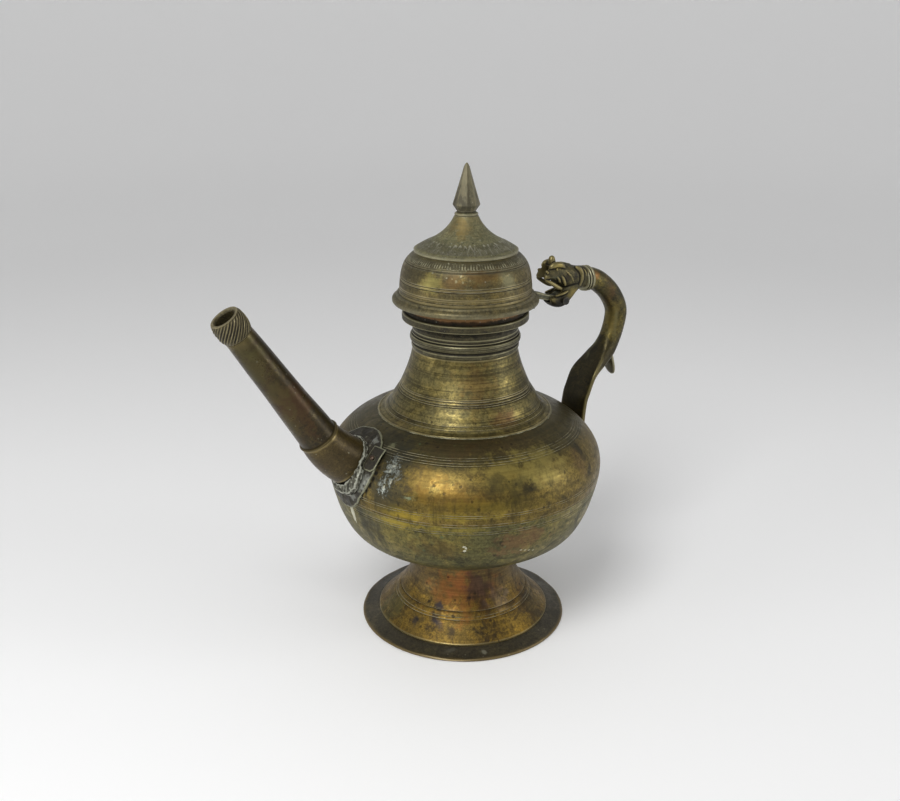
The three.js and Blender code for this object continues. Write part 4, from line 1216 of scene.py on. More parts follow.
# %% Make the pieces
forged = {
    "spout_tab": ("tab_of_the_spout", 0.3, 2), "spout_tab_rivet": ("rivet_of_the_tab", 0.25, 3),
    "hinge_pin": ("pin_of_the_hinge", 0.3, 3), "handle_rivet_upper": ("upper_rivet", 0.3, 3),
    "handle_rivet_lower": ("lower_rivet", 0.3, 3), "finial_washer": ("washer_of_the_finial", 0.35, 2),
    "lid_tongue": ("tongue_of_the_lid", 0.4, 4), "tongue_hook": ("hook_of_the_tongue", 0.3, 3),
}
pieces = {
    "foot_flange": foot_ring(), "foot_bell": foot_bell(),
    "bowl_lower": belly_half("lower_bowl", low("bowl_lower"), seam),
    "bowl_upper": belly_half("upper_bowl", seam, shoulder),
    "neck": neck_skirt(), "neck_ring": moulding(), "mouth_collar": mouth(), "spout_plate": patch_plate(),
    "spout_solder": solder_roll(), "spout_socket": spout_socket(), "spout_bead": spout_ring(),
    "spout_tube": spout_tube(), "spout_knob": spout_mouth(), "head_bands": head_bands(),
    "dragon_head": dragon_head(), "handle": arch_and_strap(), "lid_rim": rim_of_lid(),
    "lid_dome": dome_of_lid(), "lid_crown": crown_of_lid(), "finial_collar": collar_of_finial(),
    "finial": spire(),
}
for node_name, (name, voxel, rounds) in forged.items():
    pieces[node_name] = softened(name, node_name, voxel, rounds)

tongue_middle = (low("lid_tongue") + high("lid_tongue")) / 2
tongue_swell = 0.2
for vertex in pieces["lid_tongue"].data.vertices:
    thicker = smooth_step(pin.x - vertex.co.x, 8 * mm, 14 * mm)
    vertex.co.z += thicker * tongue_swell * (vertex.co.z - tongue_middle)
spur = leaf_spur()
solder_line = line_of_solder()
print("made", len(pieces) + 2, "pieces")

# %% [markdown]
# ## Finishes
# A finish starts with patina and takes layers on top. Each layer changes the colour, the roughness or
# the height, and the last step joins them to the shader.

# %% Layers of a finish
finishes = []
grain_height = 0.00006
worn_height = 0.00003
groove_color = (0.012, 0.01, 0.006)
groove_depth = -0.00016
grime_color = (0.02, 0.016, 0.01)
engraved_ground = (0.05, 0.045, 0.025)
engraved_depth = -0.0002


class Finish:
    def __init__(self, name, nodes, shine, colors, mix):
        self.material = bpy.data.materials.new(name)
        self.material.use_nodes = True
        self.tree = self.material.node_tree
        self.tree.nodes.clear()
        self.nodes = nodes
        self.place = add(self.tree, "ShaderNodeTexCoord", {})["Object"]
        self.gloss, self.dull, self.metal = shine
        self.height = cloud(self.place, 420, 3, 0.6) * grain_height
        names = ("Bright", "Middle", "Dark", "Red", "Scale", "Rubbed", "Stained", "Reddened")
        self.color = self.use(patina_group, **dict(zip(names, (*colors, *mix))))
        worn = self.color["Worn"]
        self.rough = ranged(worn, 0, 1, self.dull, self.gloss)
        self.raise_by(worn, worn_height)
        finishes.append(self)

    def use(self, group, **inputs):
        return add(self.tree, "ShaderNodeGroup", {"Position": self.place, **inputs}, node_tree=group)

    def raise_by(self, mask, amount):
        self.height = self.height + mask * amount

    def tint(self, mask, color, share=1.0):
        self.color = mixed(mask * share, self.color, color)

    def dulled(self, mask, value):
        self.rough = self.rough + mask * (value - self.rough)

    def turning(self, lean=0.0, fineness=1.0, light=0.25, depth=0.00004):
        streak = self.use(turning_group, Lean=lean, Fineness=fineness)
        self.color = shaded(self.color, ranged(streak, 0, 1, 1 - light, 1 + light))
        self.raise_by(streak["Height"], depth)
        return self

    def lines(self, levels, sag=0.0, worn=0.4, width=0.3, dust=(0.42, 0.38, 0.24), share=0.75):
        for level in levels:
            groove = self.use(scribed_group, Level=level * mm, Sag=sag, Worn=worn, Width=width * mm)
            self.tint(groove["Dust"], dust, share)
            self.tint(groove, groove_color, 0.75)
            self.raise_by(groove, groove_depth)
            self.dulled(groove["Dust"], 0.7)
        return self

    def wear(self, bright, edge=0.3, grime=grime_color, hollow=0.3, share=0.8, scale=160.0):
        rim = self.use(wear_group, Edge=edge, Hollow=hollow, Scale=scale)
        self.tint(rim, bright, share)
        self.dulled(rim, self.gloss)
        self.tint(rim["Grime"], grime, 0.8)
        self.dulled(rim["Grime"], 0.75)
        return self

    def specks(self, color, scale=500.0, amount=0.2, share=0.7, height=-0.00005, where=None):
        speck = self.use(speck_group, Scale=scale, Amount=amount)
        speck = speck * where if where else speck
        self.tint(speck, color, share)
        self.raise_by(speck, height)
        return self

    def mark(self, centre, size, color, share=0.6, ragged=0.5, rough=None, height=0.0, grain=150.0):
        wide, *deep, tall = [value * mm for value in size]
        size = (wide, *(deep or [wide]), tall)
        mask = self.use(mark_group, Centre=centre, Size=size, Ragged=ragged, Grain=grain)
        self.tint(mask, color, share)
        if rough is not None:
            self.dulled(mask, rough)
        if height:
            self.raise_by(mask, height)
        return self

    def marks(self, spots, *same, **also):
        for x, y, *own in spots:
            self.mark(spot_on(pieces[self.nodes[0]], x, y)[0], *own, *same, **also)
        return self

    def band(self, start, end, soft=2.0):
        ragged = cloud(self.place, 45, 4, 0.6) - 0.5
        level = parted(self.place)[2] + ragged * (soft * 2 * mm)
        below = ranged(level, (start - soft) * mm, (start + soft) * mm)
        return below * ranged(level, (end - soft) * mm, (end + soft) * mm, 1, 0)

    def engraved(self, kind, start, end, count, color, share=0.7):
        cuts = self.use(engraved_group, Bottom=start * mm, Top=end * mm, Count=count)
        self.tint(cuts["Zone"], engraved_ground, 0.3)
        self.tint(cuts[kind], color, share)
        self.raise_by(cuts[kind], engraved_depth)
        return self

    def smears(self, color, amount=0.5, share=0.6, scale=180.0):
        smear = self.use(smear_group, Amount=amount, Scale=scale)
        self.tint(smear, color, share)
        self.dulled(smear, self.dull)
        return self

    def done(self):
        bump = add(self.tree, "ShaderNodeBump", {"Height": self.height, "Strength": 1, "Distance": 1})
        shader = add(self.tree, "ShaderNodeBsdfPrincipled", {
            "Base Color": self.color, "Roughness": self.rough, "Metallic": self.metal, "Normal": bump})
        add(self.tree, "ShaderNodeOutputMaterial", {0: shader})


print("finish layers ready")

# %% [markdown]
# ## Colours of the bronze
# The colours were judged against the photograph: dull gold where it is rubbed, olive and brown elsewhere,
# copper red on the foot and nearly black in the deepest patina. Each finish below gives the roughness of
# its rubbed and of its dull metal and how metallic it is, then the four colours of its patina, then the
# patina's scale and the shares that are rubbed, stained and reddened.

# %% Palette
gold = (0.195, 0.138, 0.03)
old_gold = (0.118, 0.084, 0.021)
brown = (0.066, 0.04, 0.017)
dark_olive = (0.024, 0.021, 0.01)
deep_olive = (0.018, 0.016, 0.009)
near_black = (0.009, 0.008, 0.006)
copper = (0.17, 0.05, 0.016)
dusty_green = (0.135, 0.128, 0.064)
pale_gold = (0.3, 0.25, 0.12)
grey_dust = (0.3, 0.29, 0.21)
verdigris = (0.1, 0.15, 0.075)
soot = (0.014, 0.012, 0.007)
iron_spot = (0.024, 0.022, 0.028)
old_dirt = (0.03, 0.024, 0.014)

# %% [markdown]
# The belly is golden between the shoulder lines and the seam, with orange and dark clouds, and greener
# below the seam. The places of the large clouds were read from the photograph. A row holds the pixel,
# the width and height of the mark in mm, its colour and how strongly and how raggedly it covers.

# %% Finish of the belly
belly_clouds = [
    (505, 449, (26, 5), (0.085, 0.048, 0.02), 0.32, 1.3),
    (446, 447, (15, 5), (0.08, 0.048, 0.018), 0.34, 1.3),
    (548, 470, (17, 9), (0.25, 0.2, 0.06), 0.5, 1.1), (425, 480, (15, 7), (0.2, 0.125, 0.025), 0.45, 1.1),
    (455, 500, (24, 8), (0.22, 0.12, 0.018), 0.5, 1.3), (508, 474, (20, 9), (0.27, 0.21, 0.05), 0.65, 1.2),
    (480, 508, (30, 4), (0.2, 0.15, 0.02), 0.45, 1.3), (490, 486, (20, 4), dark_olive, 0.34, 1.5),
    (520, 500, (12, 4), dark_olive, 0.4, 1.5), (535, 463, (17, 8), (0.27, 0.22, 0.06), 0.5, 1.3),
    (580, 462, (7, 9), (0.1, 0.055, 0.03), 0.4, 0.8), (399, 514, (13, 4.6), (0.4, 0.29, 0.03), 0.62, 1.3),
    (457, 518, (24, 2.6), (0.3, 0.23, 0.03), 0.42, 1.6)]
belly_glint = [(408, 498)]
belly_shadows = [(390, 448), (392, 470), (384, 490)]
# Pale specks of solder on the belly; their bluish white is partly a painted glint of light on the lumpy
# solder.
solder_specks_and_glints = [(393, 467, (3.6, 4), 0.6), (388, 471, (1.6, 5.5), 0.6), (390, 481, (1.3, 7), 0.65),
                 (385, 480, (1.2, 6), 0.6), (396, 459, (2.4, 2.4), 0.4), (383, 489, (2.6, 3), 0.5),
                 (397, 475, (2.4, 4.5), 0.35), (380, 484, (1.4, 5), 0.5)]
# Near-black marks along the right edge of the plate: a painted shadow cast by the plate's edge.
plate_edge_shadow = [(379, 468), (376, 473), (373, 479), (370, 485), (366, 491), (362, 497), (358, 502)]
solder_run = [(392, 446)]
lower_clouds = [
    (402, 524, (17, 3.2), (0.38, 0.28, 0.03), 0.55, 1.3), (450, 529, (22, 3), (0.27, 0.21, 0.03), 0.4, 1.5),
    (520, 541, (15, 8), (0.17, 0.08, 0.036), 0.5, 1.5), (436, 548, (16, 7), (0.14, 0.09, 0.022), 0.5, 1.2),
    (370, 525, (12, 14), (0.04, 0.042, 0.028), 0.6, 1.2)]
lower_nicks = [(x, 550) for x in (521, 525, 529, 533)]

belly_gold = Finish(
    "golden_belly", ["bowl_upper"], (0.31, 0.48, 0.76), (gold, old_gold, dark_olive, copper),
    (32, 0.5, 0.52, 0.3))
# The shoulder band keeps an olive patina and is painted darker still: a painted shade of the upward-facing
# shoulder.
belly_gold.tint(belly_gold.band(125.5, 150, 2.5), (0.05, 0.045, 0.02), 0.76)
belly_gold.marks(belly_clouds)
belly_gold.marks(belly_glint, (3.4, 1.1), (0.3, 0.36, 0.22), 0.7, 2.2, grain=900)
belly_gold.marks(belly_shadows, (15, 14), (0.03, 0.03, 0.02), 0.7, 0.9, 0.5)
# Solder specks, partly painted glints.
for x, y, size, share in solder_specks_and_glints:
    belly_gold.marks([(x, y)], size, (0.34, 0.37, 0.33), share, 2.2, 0.3, 0.00012, 800)
# Painted shadow along the plate's edge.
belly_gold.marks(plate_edge_shadow, (1.4, 2.6), (0.004, 0.004, 0.003), 0.9, 0.5, 0.8, grain=400)
belly_gold.marks(solder_run, (2.4, 10), (0.22, 0.22, 0.12), 0.55, 1.2, grain=380)
belly_gold.turning(-0.9, 1.1, 0.13, 0.00003)
belly_gold.lines((129.9, 129.1, 128, 127.1), worn=0.42, width=0.12, share=0.6)
belly_gold.lines((103.4, 102.1, 97.7), sag=0.00016, worn=0.42, width=0.2)
belly_gold.specks(near_black, 330, 0.26, 0.55).specks(verdigris, 210, 0.06, 0.4, 0.00002)
belly_gold.smears(dark_olive, 0.48, 0.55, 120)

belly_olive = Finish(
    "olive_lower_belly", ["bowl_lower"], (0.31, 0.5, 0.74),
    ((0.21, 0.165, 0.038), (0.098, 0.09, 0.032), (0.02, 0.018, 0.009), copper), (28, 0.49, 0.52, 0.32))
belly_olive.marks(lower_clouds).turning(0.9, 1.1, 0.13, 0.00003)
belly_olive.lines((96.1, 92.7, 91.3), sag=0.00016, worn=0.42, width=0.2)
belly_olive.specks(near_black, 300, 0.24, 0.5).specks(verdigris, 190, 0.07, 0.5, 0.00002)
belly_olive.smears(dark_olive, 0.47, 0.45, 110)
belly_olive.marks(lower_nicks, (0.9, 0.6), (0.42, 0.4, 0.27), 0.9, 0.3)
print("belly finishes ready")

# %% [markdown]
# The neck still shows the lathe: dark and light rings run round it, and it shines more than the belly.
# The mouldings above it have bright crests and dirt in their hollows.

# %% Finish of neck and mouldings
neck_clouds = [(478, 385, (10, 17), (0.17, 0.1, 0.028), 0.4, 1.3),
               (505, 420, (9, 6), (0.12, 0.05, 0.02), 0.45, 0.8)]
# A reddish-brown band on the mouth flange, brightened as painted light where the lid's rim shades it.
mouth_band_and_light = [(462, 321)]

neck_olive = Finish(
    "turned_neck", ["neck"], (0.28, 0.45, 0.76),
    ((0.2, 0.155, 0.045), (0.088, 0.074, 0.028), deep_olive, (0.12, 0.06, 0.024)), (26, 0.5, 0.46, 0.4))
neck_olive.marks(neck_clouds).turning(-0.3, 0.9, 0.44, 0.00011)
neck_olive.lines((153.2, 152.1, 150.7, 149.7), worn=0.38, width=0.15)
neck_olive.lines((140.5, 138.8), worn=0.42, width=0.1)
neck_olive.wear(pale_gold, 0.26, share=0.6).specks(near_black, 420, 0.18, 0.5)

ring_olive = Finish(
    "turned_mouldings", ["mouth_collar", "neck_ring"], (0.34, 0.54, 0.55),
    ((0.082, 0.067, 0.027), (0.038, 0.033, 0.015), near_black, (0.075, 0.038, 0.018)),
    (48, 0.47, 0.5, 0.36))
# Reddish band under the rim, partly painted light.
ring_olive.marks(mouth_band_and_light, (45, 2.4), (0.26, 0.13, 0.045), 0.7, 1).turning(0.3, 1.2, 0.2, 0.00005)
ring_olive.wear((0.24, 0.22, 0.12), 0.2, groove_color, 0.48, 0.8, 320).specks(grey_dust, 700, 0.14, 0.4)

pale_solder = Finish(
    "pale_solder_line", [], (0.4, 0.6, 0.4),
    ((0.33, 0.31, 0.2), (0.13, 0.12, 0.065), (0.06, 0.055, 0.03), (0.14, 0.18, 0.1)), (110, 0.5, 0.5, 0.4))
print("neck finishes ready")

# %% [markdown]
# The foot is golden brown with a copper-red cloud high up in front, and dark smears run down it. The
# ring under it is charcoal with a thin brassy edge.

# %% Finish of the foot
# Copper clouds and a dark smear on the foot; the last, pale pinkish mark is a painted highlight.
foot_clouds_and_highlight = [
    (462, 592, (22, 17, 15), (0.22, 0.085, 0.018), 0.6, 1.2), (458, 582, (7, 9), (0.3, 0.1, 0.03), 0.45, 1.5),
    (478, 586, (8, 13), (0.045, 0.03, 0.028), 0.7, 1.3), (500, 600, (9, 6), (0.17, 0.125, 0.08), 0.5, 1.2)]
foot_spots = [(439, 606, (2.8, 3.6, 4.4), iron_spot, 0.85, 0.8),
              (437, 622, (2.2, 5.5, 5.5), iron_spot, 0.8, 0.9),
              (415, 621, (3.2, 3), (0.022, 0.02, 0.022), 0.8, 0.9)]
foot_sides = [(484, 625, (1.2, 3, 4), old_dirt, 0.6, 0.8),
              (393, 606, (13, 24), (0.085, 0.082, 0.03), 0.6, 1.1),
              (532, 604, (13, 24), (0.06, 0.05, 0.024), 0.6, 1.1)]
foot_dent = [(452, 632)]
flange_chip = [(484, 652)]
flange_dust = [(450, 650)]

bell_red = Finish(
    "red_golden_foot", ["foot_bell"], (0.34, 0.52, 0.78),
    ((0.24, 0.146, 0.02), (0.13, 0.084, 0.018), (0.034, 0.025, 0.012), (0.15, 0.064, 0.018)),
    (50, 0.5, 0.52, 0.4))
bell_red.tint(bell_red.band(27, 60, 5), (0.08, 0.06, 0.032), 0.6)
# Foot clouds, one of them a painted highlight.
bell_red.marks(foot_clouds_and_highlight).marks(foot_spots, grain=260).marks(foot_sides)
bell_red.marks(foot_dent, (2, 6, 3), old_dirt, 0.7, 1, grain=300)
bell_red.smears((0.03, 0.02, 0.012), 0.51, 0.6, 210).turning(-0.5, 1, 0.18)
bell_red.lines((19.1,), worn=0.4, width=0.17).lines((16.4, 15.1), worn=0.42, width=0.13)
bell_red.wear(pale_gold, 0.24, share=0.6).specks(near_black, 260, 0.28, 0.6)

flange_dark = Finish(
    "charcoal_foot_ring", ["foot_flange"], (0.36, 0.5, 0.4),
    ((0.084, 0.07, 0.036), (0.044, 0.037, 0.022), near_black, (0.07, 0.038, 0.018)), (40, 0.47, 0.46, 0.4))
flange_dark.wear((0.2, 0.14, 0.045), 0.22, share=0.6).specks(grey_dust, 480, 0.08, 0.3)
flange_dark.marks(flange_chip, (1.8, 1.4), grey_dust, 0.5, 0.9, grain=400)
flange_dark.marks(flange_dust, (9, 2, 1), (0.12, 0.115, 0.09), 0.4, 1.2)
print("foot finishes ready")

# %% [markdown]
# The lid is dull with dust. Worn engraved petals run round its crown above the lip, and a row of
# upright strokes runs under the lip between fine lines.

# %% Finish of the lid
crown_rubs = [(462, 221, 3.6, 0.4), (462, 226, 4, 0.45), (462, 231, 4, 0.4), (462, 237, 3.6, 0.25)]
crown_clouds = [(463, 226, (13, 7), (0.13, 0.1, 0.035), 0.5, 1.1),
                (452, 230, (3, 9), (0.12, 0.085, 0.03), 0.5, 0.9)]
# Patina clouds on the dome; the first, pale gold on the left, and the last, pale grey on the right, are
# painted reflections of the side lamps.
dome_clouds_and_highlights = [
    (431, 283, (8, 7), (0.22, 0.19, 0.055), 0.75, 1.2), (482, 277, (10, 5.5), (0.14, 0.075, 0.018), 0.5, 1.3),
    (452, 283, (7, 6), (0.15, 0.085, 0.025), 0.5, 1.3), (508, 281, (6, 6), (0.16, 0.155, 0.085), 0.5, 0.9)]
dome_flecks = [(452, 279, 0.5), (456, 282, 0.8), (461, 277, 0.6), (463, 283, 0.7), (470, 281, 0.5),
               (458, 271, 0.6), (462, 265, 0.8), (455, 264, 0.5), (466, 271, 0.5)]

crown_dusty = Finish(
    "engraved_crown", ["lid_crown", "finial_collar"], (0.4, 0.6, 0.45),
    ((0.2, 0.175, 0.08), dusty_green, (0.045, 0.04, 0.02), (0.1, 0.07, 0.03)), (44, 0.48, 0.45, 0.34))
for x, y, size, share in crown_rubs:
    crown_dusty.marks([(x, y)], (size, size), (0.26, 0.17, 0.035), share, 1.1, grain=300)
crown_dusty.marks(crown_clouds).turning(-0.5, 1.2, 0.14, 0.00003)
crown_dusty.wear((0.28, 0.26, 0.17), 0.1, hollow=0.36, share=0.5)
crown_dusty.engraved("Petals", 232.9, 238.2, 46, (0.34, 0.33, 0.24), 0.75)
crown_dusty.engraved("Strokes", 233.2, 237.5, 210, (0.3, 0.29, 0.22), 0.35)
crown_dusty.specks((0.34, 0.33, 0.25), 620, 0.3, 0.45, 0.00006, crown_dusty.band(231, 241, 2))
crown_dusty.specks(near_black, 540, 0.3, 0.5, -0.00008, crown_dusty.band(231, 242, 2))

dome_dusty = Finish(
    "golden_dome", ["lid_dome"], (0.34, 0.52, 0.7),
    ((0.15, 0.112, 0.034), (0.075, 0.062, 0.028), deep_olive, (0.075, 0.04, 0.016)), (38, 0.5, 0.5, 0.38))
dome_dusty.tint(dome_dusty.band(224.4, 233, 0.6), (0.1, 0.09, 0.05), 0.6)
# Dome clouds, two of them painted highlights.
dome_dusty.marks(dome_clouds_and_highlights).turning(-0.4, 1.2, 0.14, 0.00004)
dome_dusty.lines((216.7, 215.1), worn=0.36, width=0.17).lines((210.8, 208.6), worn=0.4, width=0.14)
dome_dusty.engraved("Strokes", 226.9, 229.6, 128, (0.34, 0.32, 0.2), 0.7)
dome_dusty.lines((226.6, 225.8, 225), worn=0.34, width=0.1).specks(grey_dust, 520, 0.14, 0.4)
dome_dusty.specks((0.36, 0.34, 0.22), 800, 0.4, 0.5, 0.00005, dome_dusty.band(227.5, 232, 1))
for x, y, size in dome_flecks:
    dome_dusty.marks([(x, y)], (size, size), (0.34, 0.32, 0.19), 0.4, 1.2, grain=700)
dome_dusty.wear(pale_gold, 0.24, share=0.6)

rim_dusty = Finish(
    "dusty_rim", ["lid_rim", "finial_washer"], (0.38, 0.56, 0.6),
    ((0.13, 0.105, 0.042), (0.072, 0.062, 0.03), dark_olive, brown), (46, 0.49, 0.5, 0.36))
rim_dusty.turning(-0.4, 1.2, 0.16, 0.00004).wear((0.26, 0.235, 0.14), 0.16, soot, 0.46, 0.6, 320)
rim_dusty.specks(grey_dust, 620, 0.14, 0.4)

finial_olive = Finish(
    "filed_finial", ["finial"], (0.42, 0.58, 0.45),
    ((0.115, 0.108, 0.068), (0.048, 0.045, 0.028), (0.024, 0.022, 0.014), (0.05, 0.036, 0.02)),
    (90, 0.48, 0.48, 0.36))
finial_olive.wear((0.2, 0.175, 0.1), 0.3, share=0.7).specks(grey_dust, 900, 0.26, 0.45)
finial_olive.smears((0.02, 0.018, 0.012), 0.5, 0.6, 260)
print("lid finishes ready")

# %% [markdown]
# The spout is dark brown and browner in the middle; the olive green along its lower edge is a painted
# reflection of the floor. Its twisted mouth has pale crests, and the patch round its root is dark, with grey
# solder over it.

# %% Finish of the spout
tube_cloud = [(292, 412)]
# Olive marks along the tube's lower edge: a painted reflection of the floor.
tube_lower_reflection = [(240, 345), (256, 370), (273, 396), (290, 424)]
plate_drips = [(365, 481, 3.6), (360, 488, 3), (352, 494, 3.4), (375, 440, 2.4)]

spout_brown = Finish(
    "brown_spout", ["spout_tube"], (0.25, 0.38, 0.6),
    ((0.05, 0.036, 0.01), (0.026, 0.018, 0.006), near_black, (0.052, 0.022, 0.007)), (50, 0.48, 0.46, 0.46))
spout_brown.marks(tube_cloud, (14, 20), (0.07, 0.029, 0.009), 0.5, 1.3)
spout_brown.marks(tube_lower_reflection, (9, 7, 13), (0.066, 0.056, 0.014), 0.5, 1.1)
spout_brown.wear((0.2, 0.15, 0.06), 0.26, share=0.6).specks(grey_dust, 600, 0.08, 0.3)

ring_brown = Finish(
    "ring_of_the_spout", ["spout_bead"], (0.34, 0.5, 0.6),
    ((0.062, 0.045, 0.014), (0.036, 0.026, 0.009), near_black, brown), (90, 0.48, 0.48, 0.36))
ring_brown.wear((0.2, 0.15, 0.055), -0.25, share=0.4, scale=300)

socket_brown = Finish(
    "brown_socket", ["spout_socket"], (0.28, 0.42, 0.6),
    ((0.1, 0.07, 0.02), (0.052, 0.036, 0.012), near_black, (0.085, 0.035, 0.014)), (66, 0.48, 0.46, 0.4))
socket_brown.wear((0.26, 0.2, 0.08), 0.3, share=0.7).specks(grey_dust, 500, 0.12, 0.4)

knob_brown = Finish(
    "twisted_mouth", ["spout_knob"], (0.38, 0.58, 0.5),
    ((0.08, 0.064, 0.024), (0.04, 0.032, 0.013), near_black, brown), (100, 0.48, 0.48, 0.35))
knob_brown.wear((0.32, 0.27, 0.14), 0.14, near_black, 0.5, 0.65, 420)

pale_drip = Finish(
    "pale_drip", [], (0.5, 0.7, 0.1),
    ((0.56, 0.54, 0.42), (0.4, 0.39, 0.29), (0.14, 0.13, 0.08), (0.3, 0.32, 0.2)), (300, 0.5, 0.46, 0.4))

plate_dark = Finish(
    "patch_plate", ["spout_plate", "spout_tab"], (0.36, 0.58, 0.45),
    ((0.05, 0.04, 0.022), (0.024, 0.021, 0.013), near_black, (0.048, 0.024, 0.012)), (80, 0.47, 0.5, 0.38))
for x, y, size in plate_drips:
    plate_dark.marks([(x, y)], (size, size), (0.26, 0.27, 0.23), 0.6, 1.4, 0.35, 0.0001, 380)
plate_dark.wear((0.27, 0.27, 0.17), 0.14, share=0.7, scale=380).specks(grey_dust, 380, 0.2, 0.4, 0.00006)

solder_grey = Finish(
    "soft_solder", ["spout_solder"], (0.38, 0.62, 0.4),
    ((0.2, 0.2, 0.155), (0.07, 0.068, 0.046), (0.018, 0.017, 0.012), (0.07, 0.06, 0.028)),
    (150, 0.47, 0.52, 0.42))
solder_grey.wear((0.42, 0.43, 0.35), 0.12, (0.014, 0.013, 0.009), 0.44, 0.7, 420)

rivet_red = Finish(
    "copper_rivet", ["spout_tab_rivet"], (0.34, 0.5, 0.55),
    ((0.055, 0.032, 0.018), (0.036, 0.023, 0.014), near_black, (0.1, 0.035, 0.018)), (300, 0.5, 0.46, 0.5))
rivet_red.wear((0.08, 0.05, 0.03), 0.2, share=0.6)
print("spout finishes ready")

# %% [markdown]
# The handle is golden olive on its arch, where it is held; down the strap it is painted nearly black, a
# painted shade of the strap that faces the belly. The dragon's head is gold on its ridges and black in its
# carved lines; its jaws and the place round the pin are painted black, a painted shadow in the open mouth
# and under the jaw. The marks of the head are placed from the pin, in mm.

# %% Finish of handle and head
handle_spots = [(594, 273, (4, 5, 3), (0.24, 0.09, 0.02), 0.7, 0.9),
                (612, 318, (5, 6, 12), (0.2, 0.15, 0.04), 0.5, 1)]
head_marks = [((-5, 21.5), (4, 3, 2), (0.3, 0.23, 0.05)), ((7, 3), (6, 4, 3.4), (0.2, 0.155, 0.04)),
              ((8, 15), (1.8, 3, 4), near_black), ((1.6, 14.4), (2.2, 3, 3.4), (0.02, 0.014, 0.008)),
              ((-7, 13), (4, 3, 2.6), (0.085, 0.09, 0.055))]
jaw_and_mouth_shade = [((-2.8, -1.8), (8, 14, 6), 0.1), ((-9, 11), (12, 4.9, 13), 0.2)]
cheek_side = 6.6

handle_gold = Finish(
    "golden_handle", ["handle"], (0.3, 0.48, 0.74),
    ((0.15, 0.115, 0.026), (0.05, 0.042, 0.014), (0.016, 0.015, 0.008), (0.085, 0.038, 0.015)),
    (60, 0.49, 0.55, 0.36))
# Painted shade: the strap, which faces the belly, is painted nearly black.
handle_gold.tint(handle_gold.band(100, 161, 7), (0.02, 0.016, 0.007), 0.74)
handle_gold.marks(handle_spots).wear((0.18, 0.15, 0.06), 0.24, share=0.6)
handle_gold.specks(near_black, 420, 0.26, 0.6).smears((0.16, 0.155, 0.08), 0.46, 0.5, 150)

head_gold = Finish(
    "golden_dragon_head", ["dragon_head"], (0.34, 0.54, 0.64),
    ((0.1, 0.08, 0.026), (0.048, 0.043, 0.02), near_black, (0.075, 0.05, 0.026)), (130, 0.48, 0.52, 0.38))
for side in (-cheek_side, cheek_side):
    for (x, z), size, color in head_marks:
        head_gold.mark(pin + Vector((x, side, z)) * mm, size, color, 0.75, 0.7)
head_gold.wear((0.27, 0.22, 0.085), 0.2, (0.006, 0.005, 0.003), 0.52, 0.7, 260)
# Painted shadow: the open mouth and the jaw round the pin are painted near black.
for (x, z), size, ragged in jaw_and_mouth_shade:
    head_gold.mark(pin + Vector((x, 0, z)) * mm, size, near_black, 0.95, ragged, 0.6)

bands_gold = Finish(
    "golden_bands", ["head_bands"], (0.34, 0.54, 0.5),
    ((0.13, 0.11, 0.05), (0.07, 0.06, 0.03), dark_olive, brown), (100, 0.5, 0.5, 0.3))
bands_gold.wear((0.34, 0.32, 0.2), 0.3, near_black, 0.42, 0.7)

tongue_olive = Finish(
    "olive_tongue", ["lid_tongue"], (0.42, 0.6, 0.45),
    ((0.12, 0.12, 0.07), (0.066, 0.064, 0.038), near_black, brown), (140, 0.48, 0.48, 0.3))
tongue_olive.wear((0.22, 0.2, 0.11), 0.26, share=0.6)

fittings = ["hinge_pin", "handle_rivet_upper", "handle_rivet_lower", "tongue_hook"]
fittings_dark = Finish(
    "dark_fittings", fittings, (0.38, 0.58, 0.45),
    ((0.026, 0.023, 0.015), (0.013, 0.012, 0.009), near_black, brown), (120, 0.44, 0.48, 0.3))
fittings_dark.wear((0.06, 0.05, 0.03), 0.2, share=0.5)
print("handle finishes ready")

# %% [markdown]
# ## Putting the pieces together
# Each piece takes the place of its node in the frame, rides on the same body, and gets its finish.

# %% Fit the pieces
bodies = {node: body for body, nodes in frame["record"]["behaviour"]["bodies"].items() for node in nodes}
finish_of = {node: finish for finish in finishes for node in finish.nodes}


def fitted(piece, node, finish):
    mark_ridges(piece)
    piece.data.materials.clear()
    piece.data.materials.append(finish.material)
    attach(piece, bodies[node])


for node_name, piece in pieces.items():
    fitted(piece, node_name, finish_of[node_name])
    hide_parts(node_name)

fitted(spur, "handle", bands_gold)
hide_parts("handle")
fitted(solder_line, "spout_solder", pale_solder)

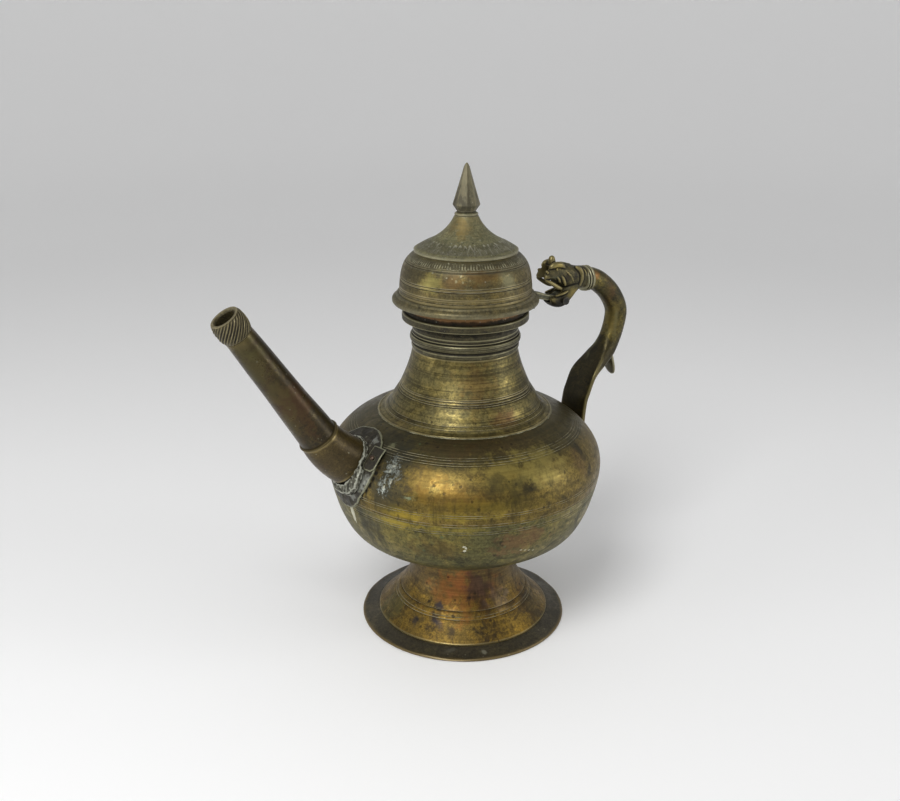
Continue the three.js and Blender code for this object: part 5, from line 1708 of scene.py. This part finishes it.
splashes = [(394, 466, 1.1, 0.7, 0.3), (390, 471, 0.5, 1.1, 0.3), (391, 482, 0.35, 1.5, 0.25),
            (384, 487, 0.45, 0.9, 0.3), (353, 512, 1.7, 7.5, 0.5), (348, 503, 1.3, 2.6, 0.4),
            (362, 504, 2.4, 0.9, 0.3), (464, 547, 0.9, 0.6, 0.4), (466, 548.5, 0.6, 0.7, 0.4),
            (464.5, 551, 0.9, 0.8, 0.4)]
seam_row = 500
grey_rows = 480
for number, (x, y, *sizes) in enumerate(splashes):
    carrier = pieces["bowl_upper" if y < seam_row else "bowl_lower"]
    drop = splash(f"splash_of_solder_{number}", carrier, x, y, *sizes, number)
    fitted(drop, "spout_solder", pale_drip if y > grey_rows else solder_grey)

for finish in finishes:
    finish.done()
print("fitted", len(pieces) + 2 + len(splashes), "pieces")

# %% [markdown]
# ## Floor, light and world
# The floor is a wide pale dish, so that the ewer sees pale walls all round. Large soft lamps stand where
# the highlights in the photograph say they stood.

# %% Floor
floor_outline = [(0.001, 0), (0.9, 0), (1.3, 0.02), (1.6, 0.1), (1.85, 0.3), (2.0, 0.6), (2.05, 1.0)]
floor_grey = 0.95
floor_roughness = 0.6

floor_rings = [hoop(upright * height, handle_way * radius, crosswise * radius, 96)
               for radius, height in curve_through(floor_outline, 6)]
floor = skin("floor", floor_rings, capped=False)
pale = bpy.data.materials.new("pale_floor")
pale.use_nodes = True
shader = pale.node_tree.nodes["Principled BSDF"]
shader.inputs["Base Color"].default_value = (floor_grey, floor_grey, floor_grey, 1)
shader.inputs["Roughness"].default_value = floor_roughness
floor.data.materials.append(pale)
print("floor ready")

# %% Lamps
lamp_aim = Vector((axis_x, 0, 0.13))
world_grey = 0.8
world_strength = 0.5


def lamp(name, turn, rise, distance, wide, tall, power):
    turn, rise = math.radians(turn), math.radians(rise)
    toward = (aside * math.sin(turn) - away * math.cos(turn)) * math.cos(rise) + upright * math.sin(rise)
    data = bpy.data.lights.new(name, "AREA")
    data.shape = "RECTANGLE"
    data.size, data.size_y = wide, tall
    data.energy = power
    light = placed(name, data)
    light.location = lamp_aim + toward * distance
    light.rotation_euler = (-toward).to_track_quat("-Z", "Y").to_euler()


lamp("key_softbox", -24, 46, 1.15, 0.46, 0.62, 8.4)
lamp("right_softbox", 80, 14, 1.1, 0.26, 0.7, 2.8)
lamp("left_softbox", -68, 5, 1.2, 0.3, 0.7, 3.2)

world = bpy.data.worlds.new("studio")
world.use_nodes = True
background = world.node_tree.nodes["Background"]
background.inputs["Color"].default_value = (world_grey, world_grey, world_grey, 1)
background.inputs["Strength"].default_value = world_strength
bpy.context.scene.world = world
bpy.context.scene.view_settings.view_transform = "Standard"
print("lamps ready")
